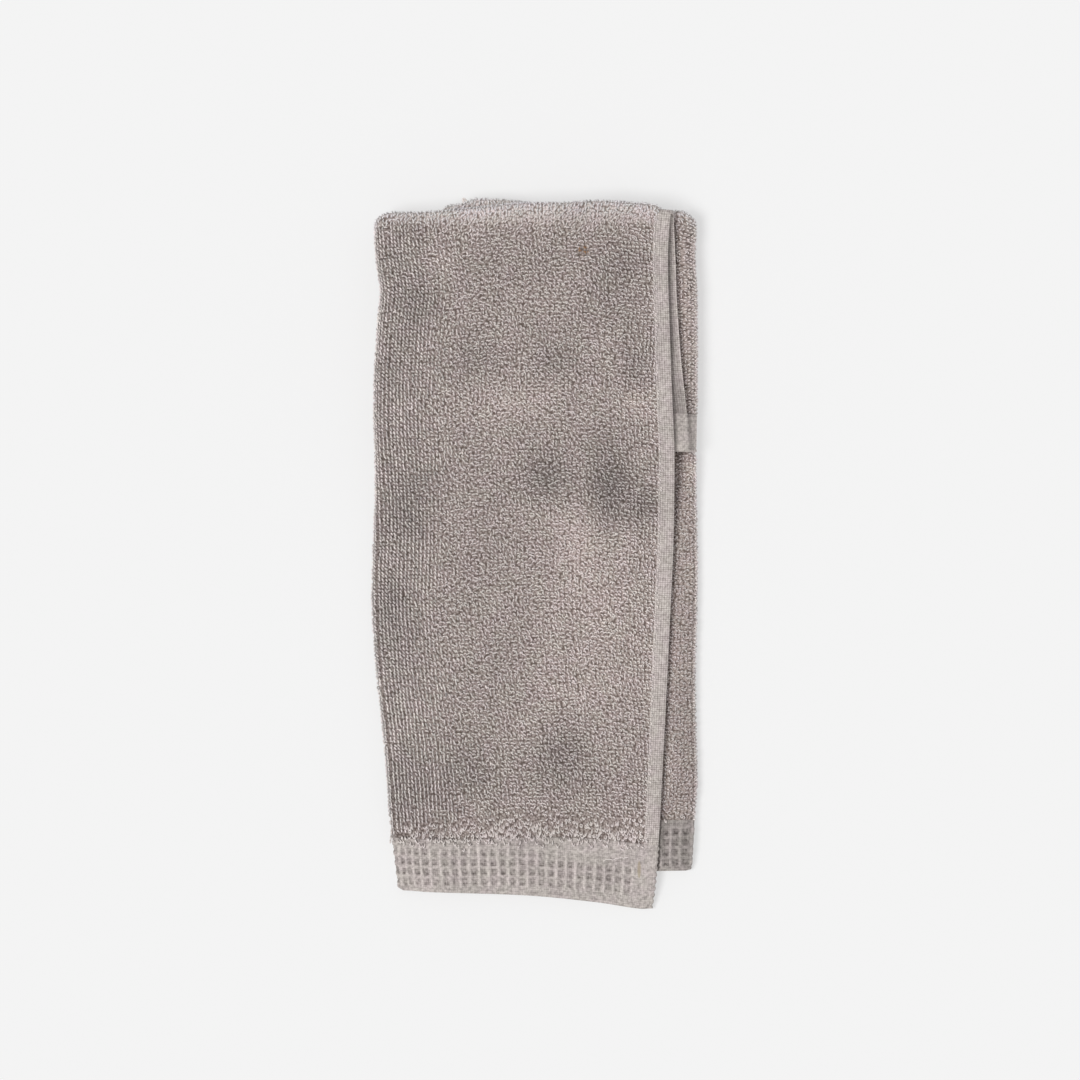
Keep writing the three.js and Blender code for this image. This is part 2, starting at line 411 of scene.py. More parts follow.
@dataclass(frozen=True)
class FoldedForm:
    """The folded cloth's middle surface, in millimetres.

    Places across run from 0 to 5: upper panel, left fold, middle panel, right fold, lower panel.
    Places along run from 0 to 3: front from its hem up, top fold, flap behind from the fold down.
    """

    pile_thickness: float = 2.3
    layer_gap: float = 0.5
    flap_end: float = 32.0
    flap_settle_top: float = 41.0
    flap_settle: float = 40.0
    fold_opening: float = 1.6
    fold_opening_above: float = 1.0
    hem_settle_top: float = -94.0
    hem_settle: float = 7.0
    hem_turn_radius: float = 1.0
    hidden_selvedge_inset: float = 10.5
    nose_drop: float = 1.6
    nose_reach: float = 3.0
    selvedge_sag: float = 0.12
    corner_sag: float = 0.022
    middle_hem_y: float = -102.1
    middle_hem_slope: float = 0.05
    middle_hem_from: float = 38.0
    centre_x: float = -0.22
    centre_y: float = -0.48

    @property
    def layer_pitch(self) -> float:
        """Height from one layer to the next."""
        return self.pile_thickness + self.layer_gap

    def turn_radius(self, y: Array) -> Array:
        """Half the height that one turn of the folded cloth takes up.

        Args:
            y: Heights in plan.

        Returns:
            The radius at each of them.
        """
        upper = self.layer_pitch
        lower = self.layer_pitch / 2.0
        flap = smoothstep(y, self.flap_settle_top - self.flap_settle, self.flap_settle_top)
        hem = 1.0 - smoothstep(y, self.hem_settle_top - self.hem_settle, self.hem_settle_top)
        return lower + (upper - lower) * flap - hem * (lower - self.hem_turn_radius)

    def ply_spread(self, y: Array) -> Array:
        """Distance of the front layer and of the flap from the middle between them."""
        return np.maximum(self.turn_radius(y) - self.layer_pitch / 2.0, 0.0)

    def swell(self, x: Array, y: Array) -> Array:
        """Add up the soft swells of the layers.

        Args:
            x: Places in plan.
            y: Places in plan.

        Returns:
            The share of the height that they add.
        """
        rise = np.zeros(np.broadcast(x, y).shape)
        for s in SWELLS:
            away = ((x - s.x) / s.half_width) ** 2 + ((y - s.y) / s.half_length) ** 2
            rise += s.rise * np.exp(-away)
        return rise

    def overhang_drop(self, x: Array, y: Array, right_axis: Array) -> Array:
        """Drop of the upper panel where it overhangs what lies under it.

        Args:
            x: Places in plan.
            y: Places in plan.
            right_axis: The axis of the right fold at each place.

        Returns:
            How far the panel drops.
        """
        past_fold = np.maximum(x - right_axis, 0.0)
        slope = self.middle_hem_slope * np.maximum(self.middle_hem_from - x, 0.0)
        past_hem = np.maximum(self.middle_hem_y - slope - y, 0.0)
        return self.selvedge_sag * past_fold**2 + self.corner_sag * past_hem**2

    def nose(self, x: Array, axis: Array, hidden: Array) -> Array:
        """Drop of the left fold, which has nothing under it as far as the hidden selvedge.

        Args:
            x: Places in plan.
            axis: The left fold's axis.
            hidden: The hidden selvedge of the lower panel.

        Returns:
            How far the layers drop.
        """
        return self.nose_drop * (1.0 - smoothstep(x, axis, hidden + self.nose_reach))

    def fold_path(self, across: Array, y: Array, behind: Array) -> Array:
        """The back-and-forth section midway between the front layer and the flap.

        Args:
            across: Places across the cloth.
            y: Heights in plan.
            behind: 0 on the front, 1 on the flap.

        Returns:
            x and z of each place.
        """
        r = self.turn_radius(y)
        spread = self.ply_spread(y)
        opening = Ease(self.flap_end - self.fold_opening, self.flap_end + self.fold_opening_above)
        opened = 1.0 - opening.at(y)
        left_fold = read_table(PLAN, "left_fold", y)
        left_axis = left_fold + r + spread
        hidden = left_fold + self.hidden_selvedge_inset
        right_axis = read_table(PLAN, "right_fold", y) - r - spread * (1.0 - 2.0 * opened)
        front_edge = read_table(PLAN, "selvedge", y)
        flap_edge = read_table(PLAN, "flap", y)
        selvedge = front_edge + (flap_edge - front_edge) * behind
        section = np.clip(np.floor(across), 0, 4)
        share = across - section
        turn = share * math.pi

        x_upper = selvedge + (left_axis - selvedge) * share
        x_middle = left_axis + (right_axis - left_axis) * share
        x_lower = right_axis + (hidden - right_axis) * share
        x = np.select(
            [section == 0, section == 1, section == 2, section == 3],
            [x_upper, left_axis - r * np.sin(turn), x_middle, right_axis + r * np.sin(turn)],
            x_lower,
        )
        z = np.select(
            [section == 0, section == 1, section == 2, section == 3],
            [
                5.0 * r - self.nose(x_upper, left_axis, hidden) - self.overhang_drop(x_upper, y, right_axis),
                4.0 * r + r * np.cos(turn) - self.nose_drop,
                3.0 * r - self.nose(x_middle, left_axis, hidden),
                2.0 * r + r * np.cos(turn),
            ],
            r,
        )
        z = r + (z - r) * (1.0 + self.swell(x, y))
        return np.stack([x, z], axis=-1)

    def fold_side(self, across: Array, y: Array, behind: Array) -> Array:
        """Find the side of the section on which the front layer lies.

        Args:
            across: Places across the cloth.
            y: Heights in plan.
            behind: 0 on the front, 1 on the flap.

        Returns:
            Directions of length one, in x and z.
        """
        reach = 0.01
        ahead = self.fold_path(np.minimum(across + reach, ACROSS_END), y, behind)
        back = self.fold_path(np.maximum(across - reach, 0.0), y, behind)
        way = unit(ahead - back)
        return np.stack([way[..., 1], -way[..., 0]], axis=-1)

    def turn_start(self, across: Array) -> Array:
        """Find the height in plan at which the top fold starts to turn.

        Args:
            across: Places across the cloth.

        Returns:
            The height at each of them.
        """
        outline = read_table(TOP_FOLD, "y", across)
        return outline - self.ply_spread(outline) - self.pile_thickness / 2.0

    def middle(self, across: Array, along: Array) -> Array:
        """Points in the middle of the cloth's thickness.

        Args:
            across: Places across the cloth, 0 to 5.
            along: Places along the cloth, 0 to 3.

        Returns:
            The points, in millimetres.
        """
        hem = read_table(FRONT_HEM, "y", across)
        start = self.turn_start(across)
        turn = np.clip(along - 1.0, 0.0, 1.0) * math.pi
        behind = (1.0 - np.cos(turn)) / 2.0
        front_y = hem + (start - hem) * np.minimum(along, 1.0)
        flap_y = start + (self.flap_end - start) * (along - 2.0)
        y = np.where(along > 2.0, flap_y, front_y)
        spread = self.ply_spread(y)
        path = self.fold_path(across, y, behind)
        offset = (spread * np.cos(turn))[..., None] * self.fold_side(across, y, behind)
        flat = path + offset
        return np.stack(
            [
                flat[..., 0] - self.centre_x,
                y + spread * np.sin(turn) - self.centre_y,
                flat[..., 1] - self.layer_gap / 2.0,
            ],
            axis=-1,
        )

    def patch(self, across: Array, along: Array) -> Patch:
        """Points with their directions.

        Args:
            across: Places across the cloth, 0 to 5.
            along: Places along the cloth, 0 to 3.

        Returns:
            The points and their three directions.
        """
        reach = 0.004
        right = self.middle(np.maximum(across - reach, 0.0), along)
        left = self.middle(np.minimum(across + reach, ACROSS_END), along)
        down = self.middle(across, np.maximum(along - reach, 0.0))
        up = self.middle(across, np.minimum(along + reach, ALONG_END))
        across_way = unit(left - right)
        along_way = unit(up - down)
        normal = unit(np.cross(along_way, across_way))
        return Patch(self.middle(across, along), across_way, along_way, normal)


FORM = FoldedForm()


class Weaver:
    """Node-building shorthand for one material."""

    def __init__(self, name: str) -> None:
        """Start an empty material.

        Args:
            name: The material's name.
        """
        self.material = bpy.data.materials.new(name)
        self.material.use_nodes = True
        self.tree = self.material.node_tree
        self.shader = self.tree.nodes["Principled BSDF"]

    def node(self, kind: str, **settings: object) -> bpy.types.Node:
        """Add a node.

        Args:
            kind: The node's type without its ShaderNode prefix.
            **settings: Properties to set on it.

        Returns:
            The node.
        """
        made = self.tree.nodes.new("ShaderNode" + kind)
        for key, value in settings.items():
            setattr(made, key, value)
        return made

    def link(self, source: bpy.types.NodeSocket, target: bpy.types.NodeSocket) -> None:
        """Join an output to an input."""
        self.tree.links.new(source, target)

    def math(self, operation: str, *values: object) -> bpy.types.NodeSocket:
        """Add a Math node.

        Args:
            operation: Its operation.
            *values: Its inputs, each a number or a socket.

        Returns:
            Its result.
        """
        made = self.node("Math", operation=operation)
        for socket, value in zip(made.inputs, values):
            if isinstance(value, bpy.types.NodeSocket):
                self.link(value, socket)
            else:
                socket.default_value = value
        return made.outputs[0]

    def attribute(self, name: str) -> bpy.types.NodeSocket:
        """The value of a named mesh attribute."""
        return self.node("Attribute", attribute_name=name).outputs["Fac"]

    def noise(self, scale: float, detail: float = 2.0) -> bpy.types.NodeSocket:
        """Noise in the object's own space.

        Args:
            scale: Its scale, in turns a metre.
            detail: Its detail.

        Returns:
            Its value, about 0.5 in the middle.
        """
        place = self.node("TexCoord").outputs["Object"]
        made = self.node("TexNoise")
        made.inputs["Scale"].default_value = scale
        made.inputs["Detail"].default_value = detail
        self.link(place, made.inputs["Vector"])
        return made.outputs["Fac"]

    def rescale(
        self, value: bpy.types.NodeSocket, source: Sequence[float], target: Sequence[float]
    ) -> bpy.types.NodeSocket:
        """Stretch one range of values over another.

        Args:
            value: The value.
            source: The range that it comes from.
            target: The range that it is stretched over.

        Returns:
            The stretched value.
        """
        made = self.node("MapRange")
        self.link(value, made.inputs["Value"])
        for name, number in zip(("From Min", "From Max", "To Min", "To Max"), (*source, *target)):
            made.inputs[name].default_value = number
        return made.outputs["Result"]

    def map_place(self, name: str) -> tuple[bpy.types.NodeSocket, bpy.types.NodeSocket]:
        """Both parts of the place on a named map.

        Args:
            name: The map.

        Returns:
            The two parts.
        """
        parts = self.node("SeparateXYZ")
        self.link(self.node("UVMap", uv_map=name).outputs["UV"], parts.inputs[0])
        return parts.outputs["X"], parts.outputs["Y"]

    def spot(self, place: Sequence[float], half_size: Sequence[float]) -> bpy.types.NodeSocket:
        """A soft-edged oval spot in plan.

        Args:
            place: Its middle in the object's own space.
            half_size: Its half width and half length.

        Returns:
            1 inside the spot, falling to 0 at its edge.
        """
        here = self.node("SeparateXYZ")
        self.link(self.node("TexCoord").outputs["Object"], here.inputs[0])
        across = self.math("DIVIDE", self.math("SUBTRACT", here.outputs["X"], place[0]), half_size[0])
        along = self.math("DIVIDE", self.math("SUBTRACT", here.outputs["Y"], place[1]), half_size[1])
        squares = self.math("ADD", self.math("MULTIPLY", across, across), self.math("MULTIPLY", along, along))
        inside = self.math("SUBTRACT", 1.0, self.math("MINIMUM", squares, 1.0))
        edge_steepness = 3.0
        return self.math("MINIMUM", self.math("MULTIPLY", inside, edge_steepness), 1.0)

    def ramp(self, factor: bpy.types.NodeSocket, stops: Sequence[tuple]) -> bpy.types.NodeSocket:
        """Turn a value into a colour.

        Args:
            factor: The value.
            stops: Places from 0 to 1, each with its colour.

        Returns:
            The colour.
        """
        made = self.node("ValToRGB")
        elements = made.color_ramp.elements
        while len(elements) < len(stops):
            elements.new(0.5)
        for element, (place, colour) in zip(elements, stops):
            element.position = place
            element.color = (*colour, 1.0)
        self.link(factor, made.inputs["Fac"])
        return made.outputs["Color"]

    def mix(self, factor: object, first: object, second: object, blend: str) -> bpy.types.NodeSocket:
        """Mix two colours.

        Args:
            factor: The second colour's share, a number or a socket.
            first: A colour or a socket.
            second: A colour or a socket.
            blend: The way of mixing.

        Returns:
            The mixed colour.
        """
        made = self.node("Mix", data_type="RGBA", blend_type=blend)
        sockets = (made.inputs[0], made.inputs[6], made.inputs[7])
        for socket, value in zip(sockets, (factor, first, second)):
            if isinstance(value, bpy.types.NodeSocket):
                self.link(value, socket)
            elif isinstance(value, tuple):
                socket.default_value = (*value, 1.0)
            else:
                socket.default_value = value
        return made.outputs[2]

    def bump(self, height: bpy.types.NodeSocket, strength: float, depth: float) -> None:
        """Raise the surface by a height.

        Args:
            height: The height, 0 to 1.
            strength: How far the bump shows.
            depth: The height's full size, in metres.
        """
        made = self.node("Bump")
        made.inputs["Strength"].default_value = strength
        made.inputs["Distance"].default_value = depth
        self.link(height, made.inputs["Height"])
        self.link(made.outputs["Normal"], self.shader.inputs["Normal"])


@dataclass(frozen=True)
class CottonDyeAndPaintedLight:
    """The washcloth's warm grey-brown dye and the painted light and shade on it, from the deepest shade
    between loops to the lit yarn.
    """

    # deep is painted shade between the loops; light and bright are painted light on the lit yarn.
    deep: tuple = (0.182, 0.139, 0.121)
    middle: tuple = (0.565, 0.485, 0.458)
    light: tuple = (0.755, 0.682, 0.66)
    bright: tuple = (0.85, 0.8, 0.785)
    deep_at: float = 0.05
    middle_at: float = 0.24
    light_at: float = 0.58
    beige: tuple = (0.4, 0.34, 0.25)
    beige_share: float = 0.75
    beige_place: tuple = (0.0335, -0.10096, 0.0)
    beige_half_width: float = 0.0006
    beige_half_length: float = 0.003
    fleck: tuple = (0.34, 0.17, 0.07)
    fleck_place: tuple = (0.01558, 0.09648, 0.0)
    fleck_radius: float = 0.0019
    # A cool painted haze over the pile by the top fold and the right fold.
    painted_haze: tuple = (0.92, 0.98, 1.02)
    mottle_scale: float = 60.0
    mottle_depth: float = 0.07
    mottle_from: tuple = (0.3, 0.7)
    tint_scale: float = 190.0
    rosy_at: float = 0.36
    sandy_at: float = 0.64
    rosy: tuple = (1.0, 0.968, 0.985)
    sandy: tuple = (0.98, 0.985, 0.96)


DYE_AND_PAINTED_LIGHT = CottonDyeAndPaintedLight()


@dataclass(frozen=True)
class ClothFinish:
    """What every finish of the cloth shares: matt cotton with a soft sheen."""

    name: str
    roughness: float = 0.92
    sheen: float = 0.3
    sheen_roughness: float = 0.6
    specular: float = 0.15

    def start(self) -> Weaver:
        """Start the material with its constant settings.

        Returns:
            The material's weaver.
        """
        weaver = Weaver(self.name)
        inputs = weaver.shader.inputs
        inputs["Roughness"].default_value = self.roughness
        inputs["Sheen Weight"].default_value = self.sheen
        inputs["Sheen Roughness"].default_value = self.sheen_roughness
        inputs["Specular IOR Level"].default_value = self.specular
        return weaver

    def mottled(self, weaver: Weaver, colour: bpy.types.NodeSocket) -> bpy.types.NodeSocket:
        """Vary a colour with the painted light and shade that the piece carries, with a painted haze, and
        with a soft mottle, as handled cotton does.

        Args:
            weaver: The material.
            colour: The colour.

        Returns:
            The varied colour.
        """
        depths = (1.0 - DYE_AND_PAINTED_LIGHT.mottle_depth, 1.0 + DYE_AND_PAINTED_LIGHT.mottle_depth)
        mottle = weaver.rescale(weaver.noise(DYE_AND_PAINTED_LIGHT.mottle_scale), DYE_AND_PAINTED_LIGHT.mottle_from, depths)
        shade = weaver.math("MULTIPLY", mottle, weaver.attribute("shade"))
        tints = ((DYE_AND_PAINTED_LIGHT.rosy_at, DYE_AND_PAINTED_LIGHT.rosy), (DYE_AND_PAINTED_LIGHT.sandy_at, DYE_AND_PAINTED_LIGHT.sandy))
        tint = weaver.ramp(weaver.noise(DYE_AND_PAINTED_LIGHT.tint_scale), tints)
        painted_haze = weaver.mix(weaver.attribute("painted_haze"), (1.0, 1.0, 1.0), DYE_AND_PAINTED_LIGHT.painted_haze, "MIX")
        cool = weaver.mix(1.0, weaver.mix(1.0, colour, tint, "MULTIPLY"), painted_haze, "MULTIPLY")
        return weaver.mix(1.0, cool, shade, "MULTIPLY")


@dataclass(frozen=True)
class LoopFinish(ClothFinish):
    """Twisted cotton yarn, with painted shade at its roots and painted light at its crown, each loop a little
    different.
    """

    rise_share: float = 0.66
    tone_share: float = 0.34
    twist_turns: float = 3.0
    plies: float = 2.0
    twist_depth: float = 0.00008
    twist_shade: float = 0.12
    twist_strength: float = 0.8

    def material(self) -> bpy.types.Material:
        """Make the material.

        Returns:
            The material.
        """
        weaver = self.start()
        # Painted shade by height: dark at the loop's feet, light at its crown; the tone adds painted light
        # near the folds.
        rise = weaver.math("MULTIPLY", weaver.attribute("rise"), self.rise_share)
        tone = weaver.math("MULTIPLY", weaver.attribute("tone"), self.tone_share)
        stops = (
            (DYE_AND_PAINTED_LIGHT.deep_at, DYE_AND_PAINTED_LIGHT.deep),
            (DYE_AND_PAINTED_LIGHT.middle_at, DYE_AND_PAINTED_LIGHT.middle),
            (DYE_AND_PAINTED_LIGHT.light_at, DYE_AND_PAINTED_LIGHT.light),
            (1.0, DYE_AND_PAINTED_LIGHT.bright),
        )
        colour = self.mottled(weaver, weaver.ramp(weaver.math("ADD", rise, tone), stops))
        along, around = weaver.map_place("yarn")
        turned = weaver.math("MULTIPLY", along, 2.0 * math.pi * self.twist_turns)
        wrapped = weaver.math("MULTIPLY", around, 2.0 * math.pi * self.plies)
        twist = weaver.math("SINE", weaver.math("ADD", turned, wrapped))
        # Painted shade in the grooves between the plies and painted light on the plies.
        groove = weaver.math("MULTIPLY_ADD", twist, self.twist_shade, 1.0)
        plied = weaver.mix(1.0, self.fleck(weaver, colour), groove, "MULTIPLY")
        weaver.link(plied, weaver.shader.inputs["Base Color"])
        weaver.bump(weaver.math("MULTIPLY_ADD", twist, 0.5, 0.5), self.twist_strength, self.twist_depth)
        return weaver.material

    def fleck(self, weaver: Weaver, colour: bpy.types.NodeSocket) -> bpy.types.NodeSocket:
        """Add the one small brown fleck near the top of the upper panel.

        Args:
            weaver: The material.
            colour: The colour without the fleck.

        Returns:
            The colour with it.
        """
        share = weaver.spot(DYE_AND_PAINTED_LIGHT.fleck_place, (DYE_AND_PAINTED_LIGHT.fleck_radius, DYE_AND_PAINTED_LIGHT.fleck_radius))
        return weaver.mix(share, colour, DYE_AND_PAINTED_LIGHT.fleck, "MIX")


@dataclass(frozen=True)
class WeaveFinish(ClothFinish):
    """Flat weave, with warp and weft threads at their real spacing. Its colour follows their relief over a
    real grain: painted shade between the threads, painted light where they cross, and in the border bands
    painted shade in the cells and painted light on the ribs.
    """

    warp_pitch: float = 0.77
    weft_pitch: float = 0.68
    thread_share: float = 0.2
    knot_share: float = 0.6
    knot_power: float = 0.6
    thread_depth: float = 0.00012
    thread_strength: float = 0.8
    dark: tuple = DYE_AND_PAINTED_LIGHT.deep
    pale: tuple = DYE_AND_PAINTED_LIGHT.middle
    sheen: float = 0.1
    grain_scale: float = 1150.0
    grain_from: tuple = (0.33, 0.67)
    grain_share: float = 0.5
    relief: bool = False
    relief_share: float = 0.42

    def material(self) -> bpy.types.Material:
        """Make the material.

        Returns:
            The material.
        """
        weaver = self.start()
        grain = weaver.rescale(weaver.noise(self.grain_scale, 1.0), self.grain_from, (0.0, 1.0))
        fibre = weaver.math("MULTIPLY", grain, self.grain_share)
        height = weaver.math("MULTIPLY_ADD", self.crossed_threads(weaver), 1.0 - self.grain_share, fibre)
        shade = height
        # Painted shade in the waffle cells and painted light on the ribs, from the relief.
        if self.relief:
            raised = weaver.math("MULTIPLY", weaver.attribute("relief"), self.relief_share)
            shade = weaver.math("MULTIPLY_ADD", height, 1.0 - self.relief_share, raised)
        colour = weaver.ramp(shade, ((0.0, self.dark), (1.0, self.pale)))
        if self.relief:
            colour = self.beige_spot(weaver, colour)
        weaver.link(self.mottled(weaver, colour), weaver.shader.inputs["Base Color"])
        weaver.bump(height, self.thread_strength, self.thread_depth)
        return weaver.material

    def crossed_threads(self, weaver: Weaver) -> bpy.types.NodeSocket:
        """Raise warp and weft threads, most where they cross.

        Args:
            weaver: The material.

        Returns:
            Their height, 0 to 1.
        """
        along_warp, along_weft = weaver.map_place("flat")
        warp = self.threads(weaver, along_warp, self.warp_pitch)
        weft = self.threads(weaver, along_weft, self.weft_pitch)
        knots = weaver.math("POWER", weaver.math("MULTIPLY", warp, weft), self.knot_power)
        sum_of_both = weaver.math("MULTIPLY", weaver.math("ADD", warp, weft), self.thread_share)
        return weaver.math("MULTIPLY_ADD", knots, self.knot_share, sum_of_both)

    def threads(self, weaver: Weaver, place: bpy.types.NodeSocket, pitch: float) -> bpy.types.NodeSocket:
        """Lay one set of threads.

        Args:
            weaver: The material.
            place: Distance across the threads.
            pitch: Distance from one thread to the next.

        Returns:
            0 between the threads, 1 on them.
        """
        wave = weaver.math("SINE", weaver.math("MULTIPLY", place, 2.0 * math.pi / pitch))
        return weaver.math("MULTIPLY_ADD", wave, 0.5, 0.5)

    def beige_spot(self, weaver: Weaver, colour: bpy.types.NodeSocket) -> bpy.types.NodeSocket:
        """Add the small upright beige spot near the border band's plain corner.

        Args:
            weaver: The material.
            colour: The colour without the spot.

        Returns:
            The colour with it.
        """
        size = (DYE_AND_PAINTED_LIGHT.beige_half_width, DYE_AND_PAINTED_LIGHT.beige_half_length)
        share = weaver.spot(DYE_AND_PAINTED_LIGHT.beige_place, size)
        return weaver.mix(weaver.math("MULTIPLY", share, DYE_AND_PAINTED_LIGHT.beige_share), colour, DYE_AND_PAINTED_LIGHT.beige, "MIX")


@dataclass(frozen=True)
class UnderPileFinish(ClothFinish):
    """The feet of the loops and the threads between them, seen in the gaps of the pile, painted dark as the
    shade deep in the pile.
    """

    tuft_pitch: float = 0.8
    tuft_depth: float = 0.0004
    gap_at: float = 0.3
    tuft_at: float = 0.88
    gap_share: float = 0.8
    tuft_share: float = 0.85

    def material(self) -> bpy.types.Material:
        """Make the material.

        Returns:
            The material.
        """
        weaver = self.start()
        tufts = weaver.node("TexVoronoi", voronoi_dimensions="2D", feature="F1")
        tufts.inputs["Scale"].default_value = 1.0 / self.tuft_pitch
        weaver.link(weaver.node("UVMap", uv_map="flat").outputs["UV"], tufts.inputs["Vector"])
        height = weaver.math("SUBTRACT", 1.0, tufts.outputs["Distance"])
        # Painted shade: darkest between the tufts, and the tufts darker than the yarn.
        gap = tuple(self.gap_share * part for part in DYE_AND_PAINTED_LIGHT.deep)
        tuft = tuple(self.tuft_share * part for part in DYE_AND_PAINTED_LIGHT.middle)
        colour = weaver.ramp(height, ((self.gap_at, gap), (self.tuft_at, tuft)))
        weaver.link(self.mottled(weaver, colour), weaver.shader.inputs["Base Color"])
        weaver.bump(height, 1.0, self.tuft_depth)
        return weaver.material


def mesh_piece(
    name: str,
    points: Array,
    quads: Array,
    triangles: Array | None,
    materials: Sequence[bpy.types.Material],
    slots: Array | None = None,
    attributes: dict[str, Array] | None = None,
    uv: tuple[str, Array] | None = None,
    shade: Array | float = 1.0,
) -> bpy.types.Object:
    """Make a smooth-shaded mesh object of the cloth.

    Args:
        name: The piece's name.
        points: Its points, in millimetres.
        quads: Its four-sided faces.
        triangles: Its three-sided faces, if any.
        materials: Its materials.
        slots: The material of each face, quads first.
        attributes: Values for each point, by name.
        uv: The name of its map and a place in it for each point.
        shade: Painted light and shade of each point, on top of the pile's painted patches.

    Returns:
        The object, which rides on the cloth's body.
    """
    points = np.concatenate([points[:, :2], np.maximum(points[:, 2:], FLOOR_CLEARANCE)], axis=1)
    triangles = np.zeros((0, 3), int) if triangles is None else triangles
    corners = np.concatenate([quads.ravel(), triangles.ravel()]).astype(np.int32)
    counts = np.concatenate([np.full(len(quads), 4), np.full(len(triangles), 3)]).astype(np.int32)
    starts = np.concatenate([[0], np.cumsum(counts)[:-1]]).astype(np.int32)
    mesh = bpy.data.meshes.new(name)
    mesh.vertices.add(len(points))
    mesh.vertices.foreach_set("co", (points * MM).astype(np.float32).ravel())
    mesh.loops.add(len(corners))
    mesh.loops.foreach_set("vertex_index", corners)
    mesh.polygons.add(len(counts))
    mesh.polygons.foreach_set("loop_start", starts)
    mesh.polygons.foreach_set("loop_total", counts)
    mesh.polygons.foreach_set("use_smooth", np.ones(len(counts), bool))
    if slots is not None:
        mesh.polygons.foreach_set("material_index", slots.astype(np.int32))
    # Every piece carries the pile's painted patches and the painted light along the right fold in its shade.
    named = {"shade": shade * patch_shade(points[:, 0], points[:, 1]), **(attributes or {})}
    for key, values in named.items():
        layer = mesh.attributes.new(key, "FLOAT", "POINT")
        layer.data.foreach_set("value", values.astype(np.float32).ravel())
    if uv is not None:
        layer = mesh.uv_layers.new(name=uv[0])
        layer.data.foreach_set("uv", uv[1][corners].astype(np.float32).ravel())
    for material in materials:
        mesh.materials.append(material)
    mesh.update(calc_edges=True)
    mesh.validate()
    piece = bpy.data.objects.new(name, mesh)
    bpy.context.scene.collection.objects.link(piece)
    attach(piece, BODY)
    return piece


def sheet_faces(rows: int, columns: int) -> Array:
    """Faces of a closed sheet of two grids of points, the outer side's first.

    Args:
        rows: Points along the cloth.
        columns: Points across the cloth.

    Returns:
        Four-sided faces that point out.
    """
    index = np.arange(rows * columns).reshape(rows, columns)
    outer = np.stack([index[:-1, :-1], index[1:, :-1], index[1:, 1:], index[:-1, 1:]], -1).reshape(-1, 4)
    inner = outer[:, ::-1] + rows * columns
    rim = np.concatenate([index[0, :], index[1:, -1], index[-1, -2::-1], index[-2:0:-1, 0]])
    ahead = np.roll(rim, -1)
    below = rows * columns
    walls = np.stack([rim, ahead, ahead + below, rim + below], -1)
    return np.concatenate([outer, inner, walls])


@dataclass(frozen=True)
class FlatMap:
    """Distances on the flat cloth, for what repeats in the weave."""

    panel: float = 92.0
    fold: float = 6.0
    front: float = 219.0
    top_fold: float = 4.4
    flap: float = 77.0

    def across(self, across: Array) -> Array:
        """Measure from the upper panel's selvedge.

        Args:
            across: Places across the cloth.

        Returns:
            Millimetres on the flat cloth.
        """
        lengths = np.cumsum([0.0, self.panel, self.fold, self.panel, self.fold, self.panel])
        return np.interp(across, np.arange(len(lengths)), lengths)

    def along(self, along: Array) -> Array:
        """Measure from the front hem's edge.

        Args:
            along: Places along the cloth.

        Returns:
            Millimetres on the flat cloth.
        """
        lengths = np.cumsum([0.0, self.front, self.top_fold, self.flap])
        return np.interp(along, np.arange(len(lengths)), lengths)

    def along_at(self, distance: float) -> float:
        """Find the place along the cloth at a distance from the front hem's edge.

        Args:
            distance: Millimetres on the flat cloth.

        Returns:
            The place along the cloth.
        """
        places = np.arange(ALONG_END + 1.0)
        return float(np.interp(distance, self.along(places), places))


FLAT = FlatMap()


class BandRow(NamedTuple):
    """Where the front border band meets the pile, as a share of the front's length."""

    across: float
    share: float


NARROWEST_BAND = 0.078
BAND_END = (
    BandRow(0, 0.093),
    BandRow(0.3, 0.09),
    BandRow(0.6, 0.082),
    BandRow(1, NARROWEST_BAND),
    BandRow(3, NARROWEST_BAND),
    BandRow(5, NARROWEST_BAND),
)


def band_end(across: Array) -> Array:
    """Place along the cloth where the front border band meets the pile."""
    return read_table(BAND_END, "share", across)


def hem_share(across: Array, along: float) -> Array:
    """Places along the front in rows that follow the border band's edge near it.

    Args:
        across: Places across the cloth.
        along: The row's place where the band is at its narrowest.

    Returns:
        The row's place along the cloth at each place across it.
    """
    lift = (along - NARROWEST_BAND) / (1.0 - NARROWEST_BAND)
    start = band_end(across)
    return start + (1.0 - start) * lift


